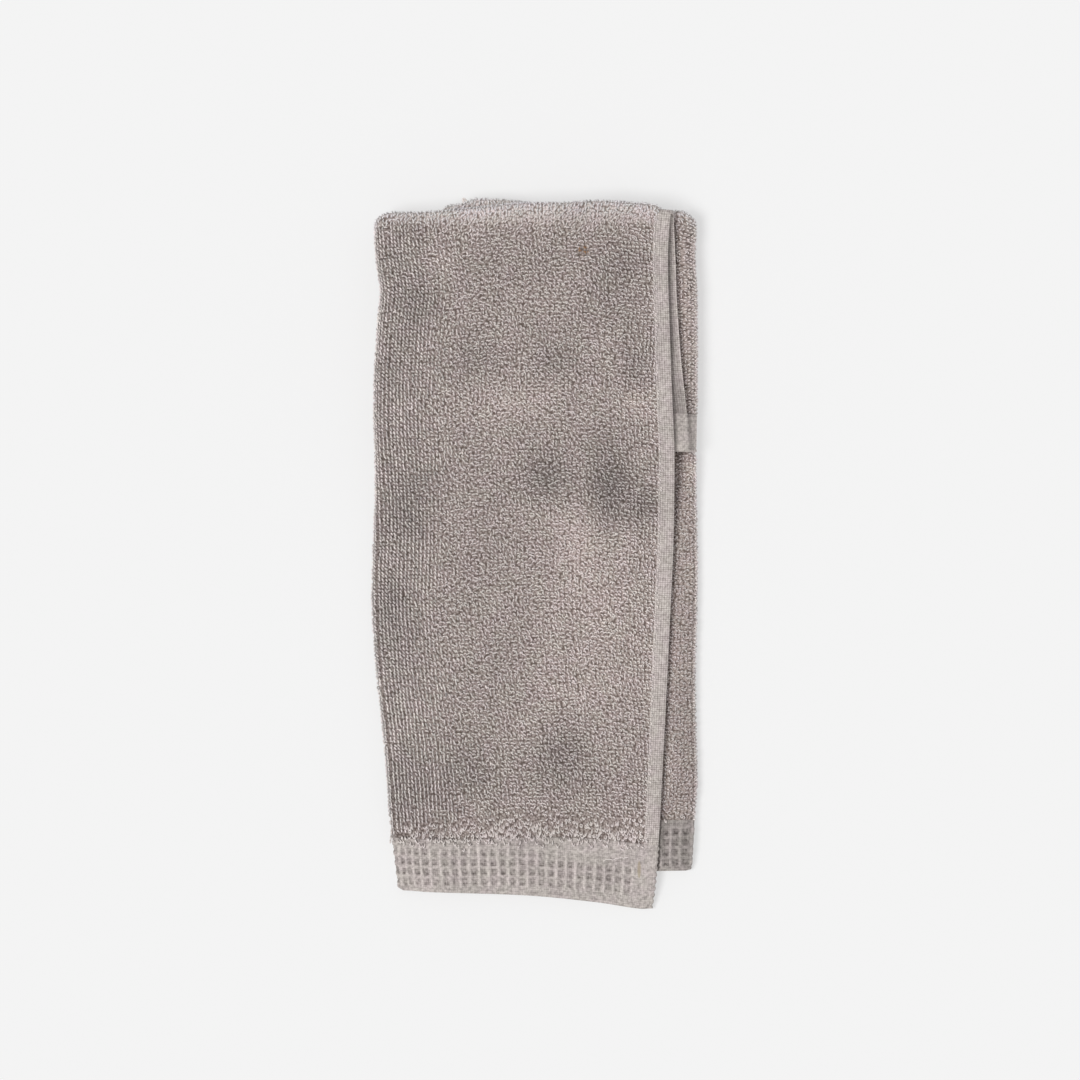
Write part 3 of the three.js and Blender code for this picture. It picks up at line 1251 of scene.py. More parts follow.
@dataclass
class GroundCloth:
    """The woven ground that the loops stand on, with the flat selvedges along both sides."""

    ground_half: float = 0.45
    selvedge_half: float = 0.68
    selvedge_width: float = 4.6
    groove_pitch: float = 1.15
    groove_depth: float = 0.11
    edge_round: float = 0.6
    edge_share: float = 0.25
    selvedge_slope: float = 1.2
    selvedge_margin: float = 0.6
    # Painted light by the top and on the strips, painted shade between the rows at the left, and a painted
    # shadow of the upper panel's edge along the flap's selvedge.
    top_rim: Ease = Ease(103.0, 109.0)
    left_rows: Ease = Ease(-46.0, -30.0)
    row_gap_shade: float = 0.2
    strip_painted_light_level: float = 1.15
    strip_painted_light: float = 0.1
    flap_strip: Ease = Ease(172.0, 175.0)
    flap_strip_painted_light: float = 0.08
    covered_from: Ease = Ease(0.4, 0.8)
    covered_to: Ease = Ease(6.0, 8.0)
    upper_edge_painted_shadow: float = 0.3
    flap_from: Ease = Ease(2.0, 8.0)
    overlap: float = 0.004
    across_steps: tuple = (
        Steps(0.002, 2),
        Steps(0.056, 16),
        Steps(0.068, 2),
        Steps(1, 24),
        Steps(2, 16),
        Steps(3, 20),
        Steps(4, 16),
        Steps(4.93, 20),
        Steps(4.942, 2),
        Steps(4.998, 6),
        Steps(5, 2),
    )
    along_steps: tuple = (Steps(1, 72), Steps(2, 12), Steps(2.84, 26))

    def half_thickness(self, across: Array) -> Array:
        """Half the ground's thickness, thicker and grooved on the selvedges.

        Args:
            across: Places across the cloth.

        Returns:
            Half thicknesses, in millimetres.
        """
        u = FLAT.across(across)
        edge = np.minimum(u, FLAT.across(ACROSS_END) - u)
        selvedge = 1.0 - smoothstep(edge, self.selvedge_width, self.selvedge_width + self.selvedge_slope)
        groove = self.groove_depth * (0.5 - 0.5 * np.cos(2.0 * math.pi * edge / self.groove_pitch))
        rim = np.clip(edge / self.edge_round, 0.0, 1.0)
        rounded = self.edge_share + (1.0 - self.edge_share) * np.sqrt(1.0 - (1.0 - rim) ** 2)
        flat = (self.selvedge_half - groove) * rounded
        return self.ground_half + (flat - self.ground_half) * selvedge

    def build(self, ground: bpy.types.Material, selvedge: bpy.types.Material) -> bpy.types.Object:
        """Build the ground cloth.

        Args:
            ground: The finish under the loops.
            selvedge: The finish of the flat selvedges.

        Returns:
            The piece.
        """
        across = step_places(self.across_steps)
        shares = step_places(self.along_steps)
        grid_across, grid_share = np.meshgrid(across, shares)
        start = band_end(grid_across) - self.overlap
        grid_along = np.where(grid_share < 1.0, start + (1.0 - start) * grid_share, grid_share)
        patch = FORM.patch(grid_across, grid_along)
        half = self.half_thickness(grid_across)[..., None]
        outer = (patch.point + patch.normal * half).reshape(-1, 3)
        inner = (patch.point - patch.normal * half).reshape(-1, 3)
        faces = sheet_faces(*grid_across.shape)
        flat = np.stack([FLAT.across(grid_across), FLAT.along(grid_along)], -1).reshape(-1, 2)
        edge = np.minimum(flat[:, 0], flat[:, 0].max() - flat[:, 0])
        on_selvedge = np.tile(edge < self.selvedge_width + self.selvedge_margin, 2)
        under_loops = edge > self.selvedge_width + self.selvedge_margin
        shade, painted_haze = self.shades(outer, inner, flat, under_loops)
        return mesh_piece(
            "washcloth_ground",
            np.concatenate([outer, inner]),
            faces,
            None,
            (ground, selvedge),
            on_selvedge[faces].all(axis=1).astype(int),
            attributes={"painted_haze": painted_haze},
            uv=("flat", np.tile(flat, (2, 1))),
            shade=shade,
        )

    def shades(self, outer: Array, inner: Array, flat: Array, under_loops: Array) -> tuple[Array, Array]:
        """Paint light and shade into the ground: pale by the top and the right fold, dark between the rows at
        the left, pale on the strips, and a shadow of the upper panel's edge along the flap's selvedge.

        Args:
            outer: Its points on the outer side.
            inner: Its points on the inner side.
            flat: Their places on the flat cloth.
            under_loops: Where loops stand on it.

        Returns:
            Brightness with the painted light and shade, and the painted haze, of each point, the outer side's
            first.
        """
        behind = self.flap_from.at(flat[:, 1] - FLAT.along(2.0))
        covered = self.covered_from.at(flat[:, 0]) * (1.0 - self.covered_to.at(flat[:, 0]))
        rim = np.maximum(self.top_rim.at(outer[:, 1]), near_right_fold(outer[:, 0], outer[:, 1]))
        outer_painted_haze = rim * under_loops
        inner_painted_haze = near_right_fold(inner[:, 0], inner[:, 1]) * under_loops
        # Painted shade between the rows at the left; painted light by the top, by the right fold and on the
        # flap's strip.
        gaps = self.row_gap_shade * (1.0 - self.left_rows.at(outer[:, 0]))
        flap_strip = self.flap_strip_painted_light * behind * self.flap_strip.at(flat[:, 0])
        lit = (1.0 + outer_painted_haze + flap_strip - gaps) * patch_shade(outer[:, 0], outer[:, 1])
        lit = np.where(under_loops, lit, 1.0)
        # The inner side: painted light, and a painted shadow of the upper panel's edge along the flap's
        # selvedge.
        strip = 1.0 + self.strip_painted_light * under_loops + inner_painted_haze
        strip *= self.strip_painted_light_level - self.upper_edge_painted_shadow * behind * covered
        return np.concatenate([lit, strip]), np.concatenate([outer_painted_haze, inner_painted_haze])


class CellRow(NamedTuple):
    """One row of waffle cells: its number from the hem's edge and its depth at the right and left."""

    number: int
    right: float
    left: float


FINE_ACROSS = (
    Steps(0.01, 3),
    Steps(1, 216),
    Steps(2, 12),
    Steps(2.84, 24),
    Steps(3, 40),
    Steps(4, 12),
    Steps(4.99, 60),
    Steps(5, 3),
)
FINE_ALONG = (Steps(0.04, 4), Steps(1, 48))
FLAP_ACROSS = (
    Steps(0.01, 3),
    Steps(0.2, 40),
    Steps(1, 30),
    Steps(2, 12),
    Steps(3, 50),
    Steps(4, 12),
    Steps(4.99, 80),
    Steps(5, 3),
)
FLAP_ALONG = (Steps(0.05, 3), Steps(1, 26))


class CellPlace(NamedTuple):
    """Where points lie among the waffle cells: the cell, and the distance from its middle."""

    row: Array
    column: Array
    from_row: Array
    from_column: Array


@dataclass(frozen=True)
class Scatter:
    """A value of its own for each waffle cell, which looks random."""

    per_column: float
    per_row: float
    spread: float

    def at(self, column: Array, row: Array) -> Array:
        """Values from -0.5 to 0.5, one for each cell."""
        return np.sin(column * self.per_column + row * self.per_row) * self.spread % 1.0 - 0.5


@dataclass
class WaffleBand:
    """A border band: raised ribs round square cells, and a plain turned edge."""

    name: str
    end: End
    half: float = 0.72
    cell_width: float = 3.05
    cell_length: float = 3.05
    cell_stretch: float = 0.3
    first_column: float = 1.2
    first_row_right: float = 5.3
    first_row_left: float = 3.0
    slant_power: float = 1.3
    cell_depth: float = 0.65
    left_part: Ease = Ease(0.15, 0.75)
    strip_part: Ease = Ease(2.5, 2.8)
    strip_end: float = 3.5
    strip_depth: float = 0.3
    deepest: float = 1.1
    pit_half_width: float = 0.78
    pit_half_length: float = 1.0
    pit_edge: float = 0.3
    knot_place: tuple = (0.12, 0.15)
    knot_radius: float = 0.4
    knot_rise: float = 0.65
    lopsided: float = 0.2
    lopsided_reach: float = 1.2
    column_scatter: Scatter = Scatter(39.346, 11.135, 24634.6345)
    row_scatter: Scatter = Scatter(12.9898, 78.233, 43758.5453)
    shift: float = 0.18
    unevenness: float = 0.16
    flat_level: float = 0.74
    rib_level: float = 1.45
    rib_sharpness: int = 5
    rib_depths: Ease = Ease(0.35, 0.75)
    rib_dip: float = 0.6
    rib_crossing: Ease = Ease(0.9, 1.6)
    plain_corner: float = 6.6
    plain_slope: float = 0.8
    crinkle: float = 0.14
    crinkles: Drift = Drift(21, 2.0)
    seam_v: float = 1.35
    seam_half: float = 0.3
    seam_depth: float = 0.22
    seam_from: Ease = Ease(8.0, 30.0)
    scallop: float = 0.42
    scallop_pitch: float = 2.1
    scallop_reach: float = 1.2
    edge_round: float = 0.7
    edge_share: float = 0.3
    panel_at_hem: float = 81.0
    fold_at_hem: float = 3.1
    middle_extra: float = 9.0
    rolled_from: float = 0.9
    rolled_extra: float = 2.9
    flap_share: float = 0.163
    # Painted light and shade: level sets the band's brightness, and strip_shade paints the upper panel's
    # shadow on its part by the right fold; below zero it paints light there instead.
    level: float = 0.98
    strip_shade: float = 0.24
    shaded_from: Ease = Ease(2.3, 2.8)
    shaded_to: Ease = Ease(3.6, 3.9)
    rows: tuple = (
        CellRow(0, 0.75, 0.85),
        CellRow(1, 1.0, 1.0),
        CellRow(2, 0.95, 1.0),
        CellRow(3, 0.35, 0.9),
        CellRow(4, 0.3, 0.35),
    )

    def hem_across(self, across: Array) -> Array:
        """Measure from the upper selvedge, along the hem.

        Args:
            across: Places across the cloth.

        Returns:
            Millimetres along the hem.
        """
        panel, fold = self.panel_at_hem, self.fold_at_hem
        lengths = np.cumsum([0.0, panel, fold, panel + self.middle_extra, fold, panel])
        rolled = np.clip((across - self.rolled_from) / (1.0 - self.rolled_from), 0.0, 1.0) ** 2
        return np.interp(across, np.arange(len(lengths)), lengths) + self.rolled_extra * rolled

    def cell_place(self, u: Array, v: Array, across: Array) -> CellPlace:
        """Find the cell that each point lies in.

        Args:
            u: Millimetres from the upper selvedge, along the hem.
            v: Millimetres from the hem's edge.
            across: Places across the cloth.

        Returns:
            The cells, and how far the points are from their middles.
        """
        slant = np.clip(across, 0.0, 1.0) ** self.slant_power
        first = self.first_row_right + (self.first_row_left - self.first_row_right) * slant
        length = self.cell_length + self.cell_stretch * slant**2
        row = np.round((v - first) / length)
        from_first = (u - self.first_column) / self.cell_width
        column = np.floor(from_first)
        from_row = v - first - row * length
        from_column = (from_first - column - 0.5) * self.cell_width
        return CellPlace(
            row,
            column,
            from_row + self.shift * self.row_scatter.at(column, row),
            from_column + self.shift * self.column_scatter.at(column, row),
        )

    def depth(self, cell: CellPlace, across: Array, plain: Array) -> Array:
        """How deep the cells are.

        Args:
            cell: The cell of each point.
            across: Places across the cloth.
            plain: 1 in the plain corner, 0 outside it.

        Returns:
            Depths, 1 for a full cell.
        """
        left = self.left_part.at(across)
        depth = np.zeros(across.shape)
        for row in self.rows:
            depth = np.where(cell.row == row.number, row.right + (row.left - row.right) * left, depth)
        depth = depth * (1.0 + self.unevenness * self.column_scatter.at(cell.column, cell.row))
        depth = depth * (1.0 - plain)
        depth = depth * (1.0 + self.strip_depth * self.strip_part.at(across) * (across < self.strip_end))
        return np.clip(depth, 0.0, self.deepest)

    def pit(self, cell: CellPlace, depth: Array) -> Array:
        """Sink the cells, each with a small knot in it.

        Args:
            cell: The cell of each point.
            depth: How deep the cells are.

        Returns:
            How far each point is sunk, 1 in the middle of a full cell.
        """
        across, along = np.abs(cell.from_column), np.abs(cell.from_row)
        soft = self.pit_edge
        inside = 1.0 - smoothstep(across, self.pit_half_width - soft, self.pit_half_width + soft)
        inside = inside * (1.0 - smoothstep(along, self.pit_half_length - soft, self.pit_half_length + soft))
        knot_across = (cell.from_column - self.knot_place[0]) / self.knot_radius
        knot_along = (cell.from_row - self.knot_place[1]) / self.knot_radius
        knot = self.knot_rise * np.exp(-(knot_across**2 + knot_along**2))
        reach = self.lopsided_reach
        # Each cell sinks deeper on one side, and the relief also paints that side darker as shade.
        tilt = 1.0 + self.lopsided * np.clip(cell.from_column - cell.from_row, -reach, reach)
        return depth * tilt * inside * (1.0 - knot)

    def relief(self, u: Array, v: Array, across: Array) -> Array:
        """How far the weave stands up: 0 in a cell, 1 on the ribs.

        Args:
            u: Millimetres from the upper selvedge, along the hem.
            v: Millimetres from the hem's edge.
            across: Places across the cloth.

        Returns:
            Values from 0 to 1, more on the ribs' crests.
        """
        edge = np.minimum(u, u.max() - u)
        plain = 1.0 - smoothstep(edge, self.plain_corner, self.plain_corner + self.plain_slope)
        cell = self.cell_place(u, v, across)
        depth = self.depth(cell, across, plain)
        crest = np.clip(np.abs(cell.from_column) / (self.cell_width / 2.0), 0.0, 1.0) ** self.rib_sharpness
        crest *= self.rib_depths.at(depth)
        crest *= 1.0 - self.rib_dip * self.rib_crossing.at(np.abs(cell.from_row))
        crinkle = self.crinkle * plain * np.clip(self.crinkles.at(u, v), -1.0, 1.0)
        seam = np.exp(-(((v - self.seam_v) / self.seam_half) ** 2)) * self.seam_from.at(u)
        raised = self.flat_level + (self.rib_level - self.flat_level) * crest + crinkle
        return raised - self.flat_level * self.pit(cell, depth) - self.seam_depth * seam

    def build(self, across: Array, share: Array, finish: bpy.types.Material) -> bpy.types.Object:
        """Build the band.

        Args:
            across: Places across the cloth.
            share: Shares of the band's length, from the hem's edge to the pile.
            finish: Its finish.

        Returns:
            The piece.
        """
        grid_across, grid_share = np.meshgrid(across, share)
        if self.end is End.FRONT:
            grid_along = grid_share * band_end(grid_across)
            v = grid_along * FLAT.front
        else:
            grid_along = ALONG_END - grid_share * self.flap_share
            v = (ALONG_END - grid_along) * FLAT.flap
        u = self.hem_across(grid_across)
        relief = self.relief(u, v, grid_across)
        outer, inner = self.faces_of(FORM.patch(grid_across, grid_along), u, v, relief)
        faces = sheet_faces(*grid_across.shape)
        if self.end is End.FLAP:
            faces = faces[:, ::-1]
        flat = np.stack([u, v], -1).reshape(-1, 2)
        shaded = self.shaded_from.at(grid_across) * (1.0 - self.shaded_to.at(grid_across))
        shade = self.level * (1.0 - self.strip_shade * shaded).ravel()
        return mesh_piece(
            self.name,
            np.concatenate([outer, inner]),
            faces,
            None,
            (finish,),
            attributes={"relief": np.tile(relief.ravel(), 2)},
            uv=("flat", np.tile(flat, (2, 1))),
            shade=np.tile(shade, 2),
        )

    def faces_of(self, patch: Patch, u: Array, v: Array, relief: Array) -> tuple[Array, Array]:
        """Raise both faces of the band from the middle of the cloth.

        Args:
            patch: Places in the middle of the cloth.
            u: Millimetres from the upper selvedge, along the hem.
            v: Millimetres from the hem's edge.
            relief: How far the weave stands up.

        Returns:
            Points of the outer and of the inner face.
        """
        edge = np.minimum(np.minimum(u, u.max() - u), v)
        rim = np.clip(edge / self.edge_round, 0.0, 1.0)
        rounded = self.edge_share + (1.0 - self.edge_share) * np.sqrt(1.0 - (1.0 - rim) ** 2)
        half = ((self.half + self.cell_depth * (relief - self.flat_level)) * rounded)[..., None]
        stitch = 0.5 + 0.5 * np.cos(2.0 * math.pi * v / self.scallop_pitch)
        bulge = self.scallop * stitch * (1.0 - smoothstep(u, 0.0, self.scallop_reach))
        point = patch.point - patch.across_way * bulge[..., None]
        outer = (point + patch.normal * half).reshape(-1, 3)
        inner = (point - patch.normal * half).reshape(-1, 3)
        return outer, inner


@dataclass(frozen=True)
class Yarn:
    """The yarn of a pile loop, in millimetres, and the mesh steps along and round it."""

    radius: float = 0.24
    height: float = 0.7
    spread: float = 1.0
    arch_power: float = 0.65
    rings: int = 4
    sides: int = 4


@dataclass(frozen=True)
class Wander:
    """How loops wander from the rows and from the table of how they lie."""

    jitter: float = 0.03
    jitter_stray: float = 0.0034
    end_jitter: float = 2.5
    row_end: Ease = Ease(0.3, 1.2)
    row_jitter: float = 1.3
    hem_jitter: float = 4.0
    hem: Ease = Ease(0.08, 0.09)
    full_stray: float = 40.0
    wide_swirl: Drift = Drift(7, 15.0)
    wide_share: float = 0.9
    close_swirl: Drift = Drift(8, 5.0)
    close_share: float = 0.4
    swirl_share: float = 0.7
    turn_share: float = 0.75
    size_share: float = 0.08
    heights: Drift = Drift(9, 11.0)
    height_share: float = 0.08
    apart_share: float = 0.1
    leans_x: Drift = Drift(10, 10.0)
    lean_x_share: float = 0.3
    leans_y: Drift = Drift(11, 10.0)
    lean_y_share: float = 0.25
    lean_share: float = 0.25
    radius_share: float = 0.07
    tone_share: float = 0.08
    shade_share: float = 0.2


WANDER = Wander()


@dataclass(frozen=True)
class PaintedRimLight:
    """Painted light on loops near the folds: a paler tone, and less of the painted shade at their feet."""

    top: Ease = Ease(0.6, 6.5)
    left: Ease = Ease(0.2, 1.4)
    tone: float = 0.4
    edge_soft: float = 0.45
    top_soft: float = 0.65
    most_soft: float = 0.5
    soft_rise: float = 0.66


PAINTED_RIM_LIGHT = PaintedRimLight()


class LoopLines(NamedTuple):
    """Centre lines of loops, with the directions across and into each of them."""

    line: Array
    binormal: Array
    inward: Array


class LoopLooks(NamedTuple):
    """Values for the loops' finish: height in the loop, which paints the shade at their feet, tone, painted
    haze, and brightness with painted light.
    """

    rise: Array
    tone: Array
    painted_haze: Array
    shade: Array


def pick_lay(x: Array, y: Array, chance: Array) -> dict[str, Array]:
    """Choose a row of the table of how loops lie for each place, the nearer the likelier.

    Args:
        x: Places in plan, in millimetres.
        y: Places in plan, in millimetres.
        chance: A value from 0 to 1 for each place.

    Returns:
        Each column of the chosen rows, by name.
    """
    weights = []
    for row in LAY:
        away = ((x - row.x) / row.half_width) ** 2 + ((y - row.y) / row.half_length) ** 2
        weights.append(row.weight * np.exp(-away))
    steps = np.cumsum(weights, axis=0)
    chosen = (chance * steps[-1] > steps).sum(axis=0)
    return {name: np.array([getattr(row, name) for row in LAY])[chosen] for name in LayRow._fields}


@dataclass
class LoopField:
    """Pile loops over one stretch of the cloth, in rows across it."""

    name: str
    side: Side
    across: tuple
    along: tuple
    anchor: float
    seed: int
    pitch_across: float = 1.2
    pitch_along: float = 1.17
    yarn: Yarn = Yarn()
    base_height: float = 0.12
    hem_lift: float = 0.62
    hem_lift_until: Ease = Ease(0.4, 1.8)
    # How much of the painted shade at the loops' feet is lifted, at least.
    softness: float = 0.0
    path_steps: int = 900
    build_seed: int = 1000

    def places(self) -> tuple[Array, Array]:
        """Find where the loops stand.

        Returns:
            Their places across and along the cloth.
        """
        rng = np.random.default_rng(self.seed)
        from_v, to_v = (float(FLAT.along(along)) for along in self.along)
        count = max(int(round((to_v - from_v) / self.pitch_along)), 1)
        distances = (from_v + (to_v - from_v) * (i + 0.5) / count for i in range(count))
        rows = [self.row(FLAT.along_at(distance), rng) for distance in distances]
        return np.concatenate([row[0] for row in rows]), np.concatenate([row[1] for row in rows])

    def row(self, along: float, rng: np.random.Generator) -> tuple[Array, Array]:
        """Space out the loops of one row.

        Args:
            along: The row's place along the cloth.
            rng: The source of chance.

        Returns:
            The loops' places across and along the cloth.
        """
        dense = np.linspace(self.across[0], self.across[1], self.path_steps)
        on_front = along < 1.0
        row_along = hem_share(dense, along) if on_front else np.full(dense.shape, along)
        line = FORM.middle(dense, row_along)
        run = np.concatenate([[0.0], np.cumsum(np.linalg.norm(np.diff(line, axis=0), axis=1))])
        origin = np.interp(np.clip(self.anchor, self.across[0], self.across[1]), dense, run)
        first = math.ceil(-origin / self.pitch_across)
        last = math.floor((run[-1] - origin) / self.pitch_across)
        runs = origin + np.arange(first, last + 1) * self.pitch_across
        stray = pick_lay(line[:, 0], line[:, 1], np.full(len(run), 0.5))["stray"]
        jitter = WANDER.jitter + WANDER.jitter_stray * np.interp(runs, run, stray)
        at_end = 1.0 - WANDER.row_end.at(np.minimum(runs, run[-1] - runs))
        along_run = jitter * (1.0 + WANDER.end_jitter * at_end)
        runs = np.clip(runs + rng.normal(0.0, 1.0, len(runs)) * along_run, 0.0, run[-1])
        place = np.interp(runs, run, dense)
        ragged = 1.0 + WANDER.hem_jitter * (1.0 - WANDER.hem.at(along)) * on_front
        off_row = rng.normal(0.0, 1.0, len(place)) * jitter * WANDER.row_jitter * ragged / FLAT.front
        return place, np.interp(place, dense, row_along) + off_row

    def lines(
        self, across: Array, along: Array, patch: Patch, lay: dict[str, Array], rng: np.random.Generator
    ) -> LoopLines:
        """Bend the loops' centre lines.

        Args:
            across: Places across the cloth.
            along: Places along the cloth.
            patch: The places in space.
            lay: How the loops lie.
            rng: The source of chance.

        Returns:
            The centre lines, each from foot to foot.
        """
        count = len(across)
        u, v = FLAT.across(across), FLAT.along(along)
        out = patch.normal * self.side.value
        rightward = patch.across_way * np.where(patch.across_way[:, :1] < 0.0, -1.0, 1.0)
        upward = patch.along_way * np.where(patch.along_way[:, 1:2] < 0.0, -1.0, 1.0)
        swirl = WANDER.wide_swirl.at(u, v) * WANDER.wide_share
        swirl = swirl + WANDER.close_swirl.at(u, v) * WANDER.close_share
        twist = WANDER.swirl_share * swirl + WANDER.turn_share * rng.normal(0.0, 1.0, count)
        turn = np.radians(lay["turn"] + lay["stray"] * twist)
        way = rightward * np.sin(turn)[:, None] + upward * np.cos(turn)[:, None]
        size = 1.0 + rng.normal(0.0, WANDER.size_share, count)
        height = self.yarn.height * size * (1.0 + WANDER.height_share * WANDER.heights.at(u, v))
        apart = lay["apart"] * self.yarn.spread * (1.0 + rng.normal(0.0, WANDER.apart_share, count))
        loose = lay["stray"] / WANDER.full_stray
        lean_x = WANDER.lean_x_share * WANDER.leans_x.at(u, v) + rng.normal(0.0, WANDER.lean_share, count)
        lean_y = WANDER.lean_y_share * WANDER.leans_y.at(u, v) + rng.normal(0.0, WANDER.lean_share, count)
        lean_x = lay["lean_x"] + loose * lean_x
        lean_y = lay["lean_y"] + loose * lean_y
        rise = out * height[:, None] + rightward * lean_x[:, None] + upward * lean_y[:, None]

        tau = np.linspace(0.0, 1.0, self.yarn.rings + 2)
        arch = np.sin(math.pi * tau) ** self.yarn.arch_power
        chord = -np.cos(math.pi * tau) / 2.0
        past_band = (along - band_end(across)) * FLAT.front
        lifted = self.hem_lift * (1.0 - self.hem_lift_until.at(past_band)) * (along < 1.0)
        base = patch.point + out * (self.base_height + lifted)[:, None]
        line = (
            base[:, None, :]
            + way[:, None, :] * (apart[:, None] * chord)[..., None]
            + rise[:, None, :] * arch[None, :, None]
        )
        binormal = unit(np.cross(way, rise))
        tangent = unit(np.gradient(line, axis=1))
        return LoopLines(line, binormal, unit(np.cross(binormal[:, None, :], tangent)))

    def tubes(self, lines: LoopLines, rng: np.random.Generator) -> Array:
        """Thicken the centre lines to yarn.

        Args:
            lines: The centre lines.
            rng: The source of chance.

        Returns:
            The points of each loop: its first foot, the rings round it and its last foot.
        """
        count = len(lines.line)
        radius = self.yarn.radius * (1.0 + rng.normal(0.0, WANDER.radius_share, count))
        theta = np.arange(self.yarn.sides) * 2.0 * math.pi / self.yarn.sides
        circle = (
            np.cos(theta)[None, None, :, None] * lines.binormal[:, None, None, :]
            + np.sin(theta)[None, None, :, None] * lines.inward[:, 1:-1, None, :]
        )
        rings = lines.line[:, 1:-1, None, :] + circle * radius[:, None, None, None]
        return np.concatenate([lines.line[:, :1], rings.reshape(count, -1, 3), lines.line[:, -1:]], axis=1)

    def looks(
        self, across: Array, patch: Patch, lay: dict[str, Array], rng: np.random.Generator
    ) -> LoopLooks:
        """Work out the values that the yarn's finish reads, with their painted light and shade.

        Args:
            across: Places across the cloth.
            patch: The places in space.
            lay: How the loops lie.
            rng: The source of chance.

        Returns:
            The values, for each point of each loop.
        """
        count = len(across)
        per_loop = self.yarn.rings * self.yarn.sides + 2
        x, y = patch.point[:, 0], patch.point[:, 1]
        # Painted light near the folds: a paler tone and less painted shade at the feet by all three, a
        # painted haze by the top and the right fold, and more brightness by the top.
        near_top = 1.0 - PAINTED_RIM_LIGHT.top.at(read_table(TOP_FOLD, "y", across) - y)
        near_left = 1.0 - PAINTED_RIM_LIGHT.left.at(x - read_table(PLAN, "left_fold", y))
        near_right = near_right_fold(x, y)
        edge = np.maximum.reduce([near_top, near_left, near_right])
        tone = lay["tone"] + PAINTED_RIM_LIGHT.tone * edge + rng.normal(0.0, WANDER.tone_share, count)
        tight = np.clip(1.0 - lay["stray"] / WANDER.full_stray, 0.0, 1.0)
        varied = WANDER.shade_share * tight * rng.normal(0.0, 1.0, count)
        # Loops in lighter painted patches lose more of the painted shade at their feet.
        pale = np.clip(PALE_PER_PATCH * (patch_shade(x, y) - 1.0), self.softness, PAINTED_RIM_LIGHT.most_soft)
        soft = np.maximum.reduce([lay["soft"], PAINTED_RIM_LIGHT.edge_soft * edge, PAINTED_RIM_LIGHT.top_soft * near_top, pale])[:, None]
        arch = np.sin(math.pi * np.linspace(0.0, 1.0, self.yarn.rings + 2)) ** self.yarn.arch_power
        rise = np.concatenate([[0.0], np.repeat(arch[1:-1], self.yarn.sides), [0.0]])[None]
        return LoopLooks(
            (rise * (1.0 - soft) + PAINTED_RIM_LIGHT.soft_rise * soft).ravel(),
            np.repeat(np.clip(tone, 0.0, 1.0), per_loop),
            np.repeat(np.maximum(near_top, near_right), per_loop),
            np.repeat(1.0 + TOP_PAINTED_LIGHT * near_top + varied, per_loop),
        )

    def yarn_map(self) -> Array:
        """Map one loop.

        Returns:
            For each of its points, the shares of the way along the yarn and round it.
        """
        sides, rings = self.yarn.sides, self.yarn.rings
        tau = np.linspace(0.0, 1.0, rings + 2)
        along = np.concatenate([[0.0], np.repeat(tau[1:-1], sides), [1.0]])
        around = np.concatenate([[0.0], np.tile(np.arange(sides) / sides, rings), [0.0]])
        return np.stack([along, around], -1)

    def build(self, finish: bpy.types.Material) -> bpy.types.Object:
        """Build the loops.

        Args:
            finish: The yarn's finish.

        Returns:
            The piece.
        """
        across, along = self.places()
        patch = FORM.patch(across, along)
        count = len(across)
        rng = np.random.default_rng(self.seed + self.build_seed)
        lay = pick_lay(patch.point[:, 0], patch.point[:, 1], rng.uniform(0.0, 1.0, count))
        points = self.tubes(self.lines(across, along, patch, lay, rng), rng)
        looks = self.looks(across, patch, lay, rng)
        quads, fans = self.faces()
        offsets = (np.arange(count) * points.shape[1])[:, None, None]
        return mesh_piece(
            self.name,
            points.reshape(-1, 3),
            (quads[None] + offsets).reshape(-1, 4),
            (fans[None] + offsets).reshape(-1, 3),
            (finish,),
            attributes={"rise": looks.rise, "tone": looks.tone, "painted_haze": looks.painted_haze},
            uv=("yarn", np.tile(self.yarn_map(), (count, 1))),
            shade=looks.shade,
        )

    def faces(self) -> tuple[Array, Array]:
        """Faces of one loop.

        Returns:
            Its four-sided faces, and the three-sided ones that close its two ends.
        """
        sides, rings = self.yarn.sides, self.yarn.rings
        quads, fans = [], []
        for ring in range(rings - 1):
            for side in range(sides):
                a = 1 + ring * sides + side
                b = 1 + ring * sides + (side + 1) % sides
                quads.append((a, b, b + sides, a + sides))
        end = 1 + rings * sides
        for side in range(sides):
            after = (side + 1) % sides
            fans.append((0, 1 + after, 1 + side))
            fans.append((end, end - sides + side, end - sides + after))
        return np.array(quads), np.array(fans)


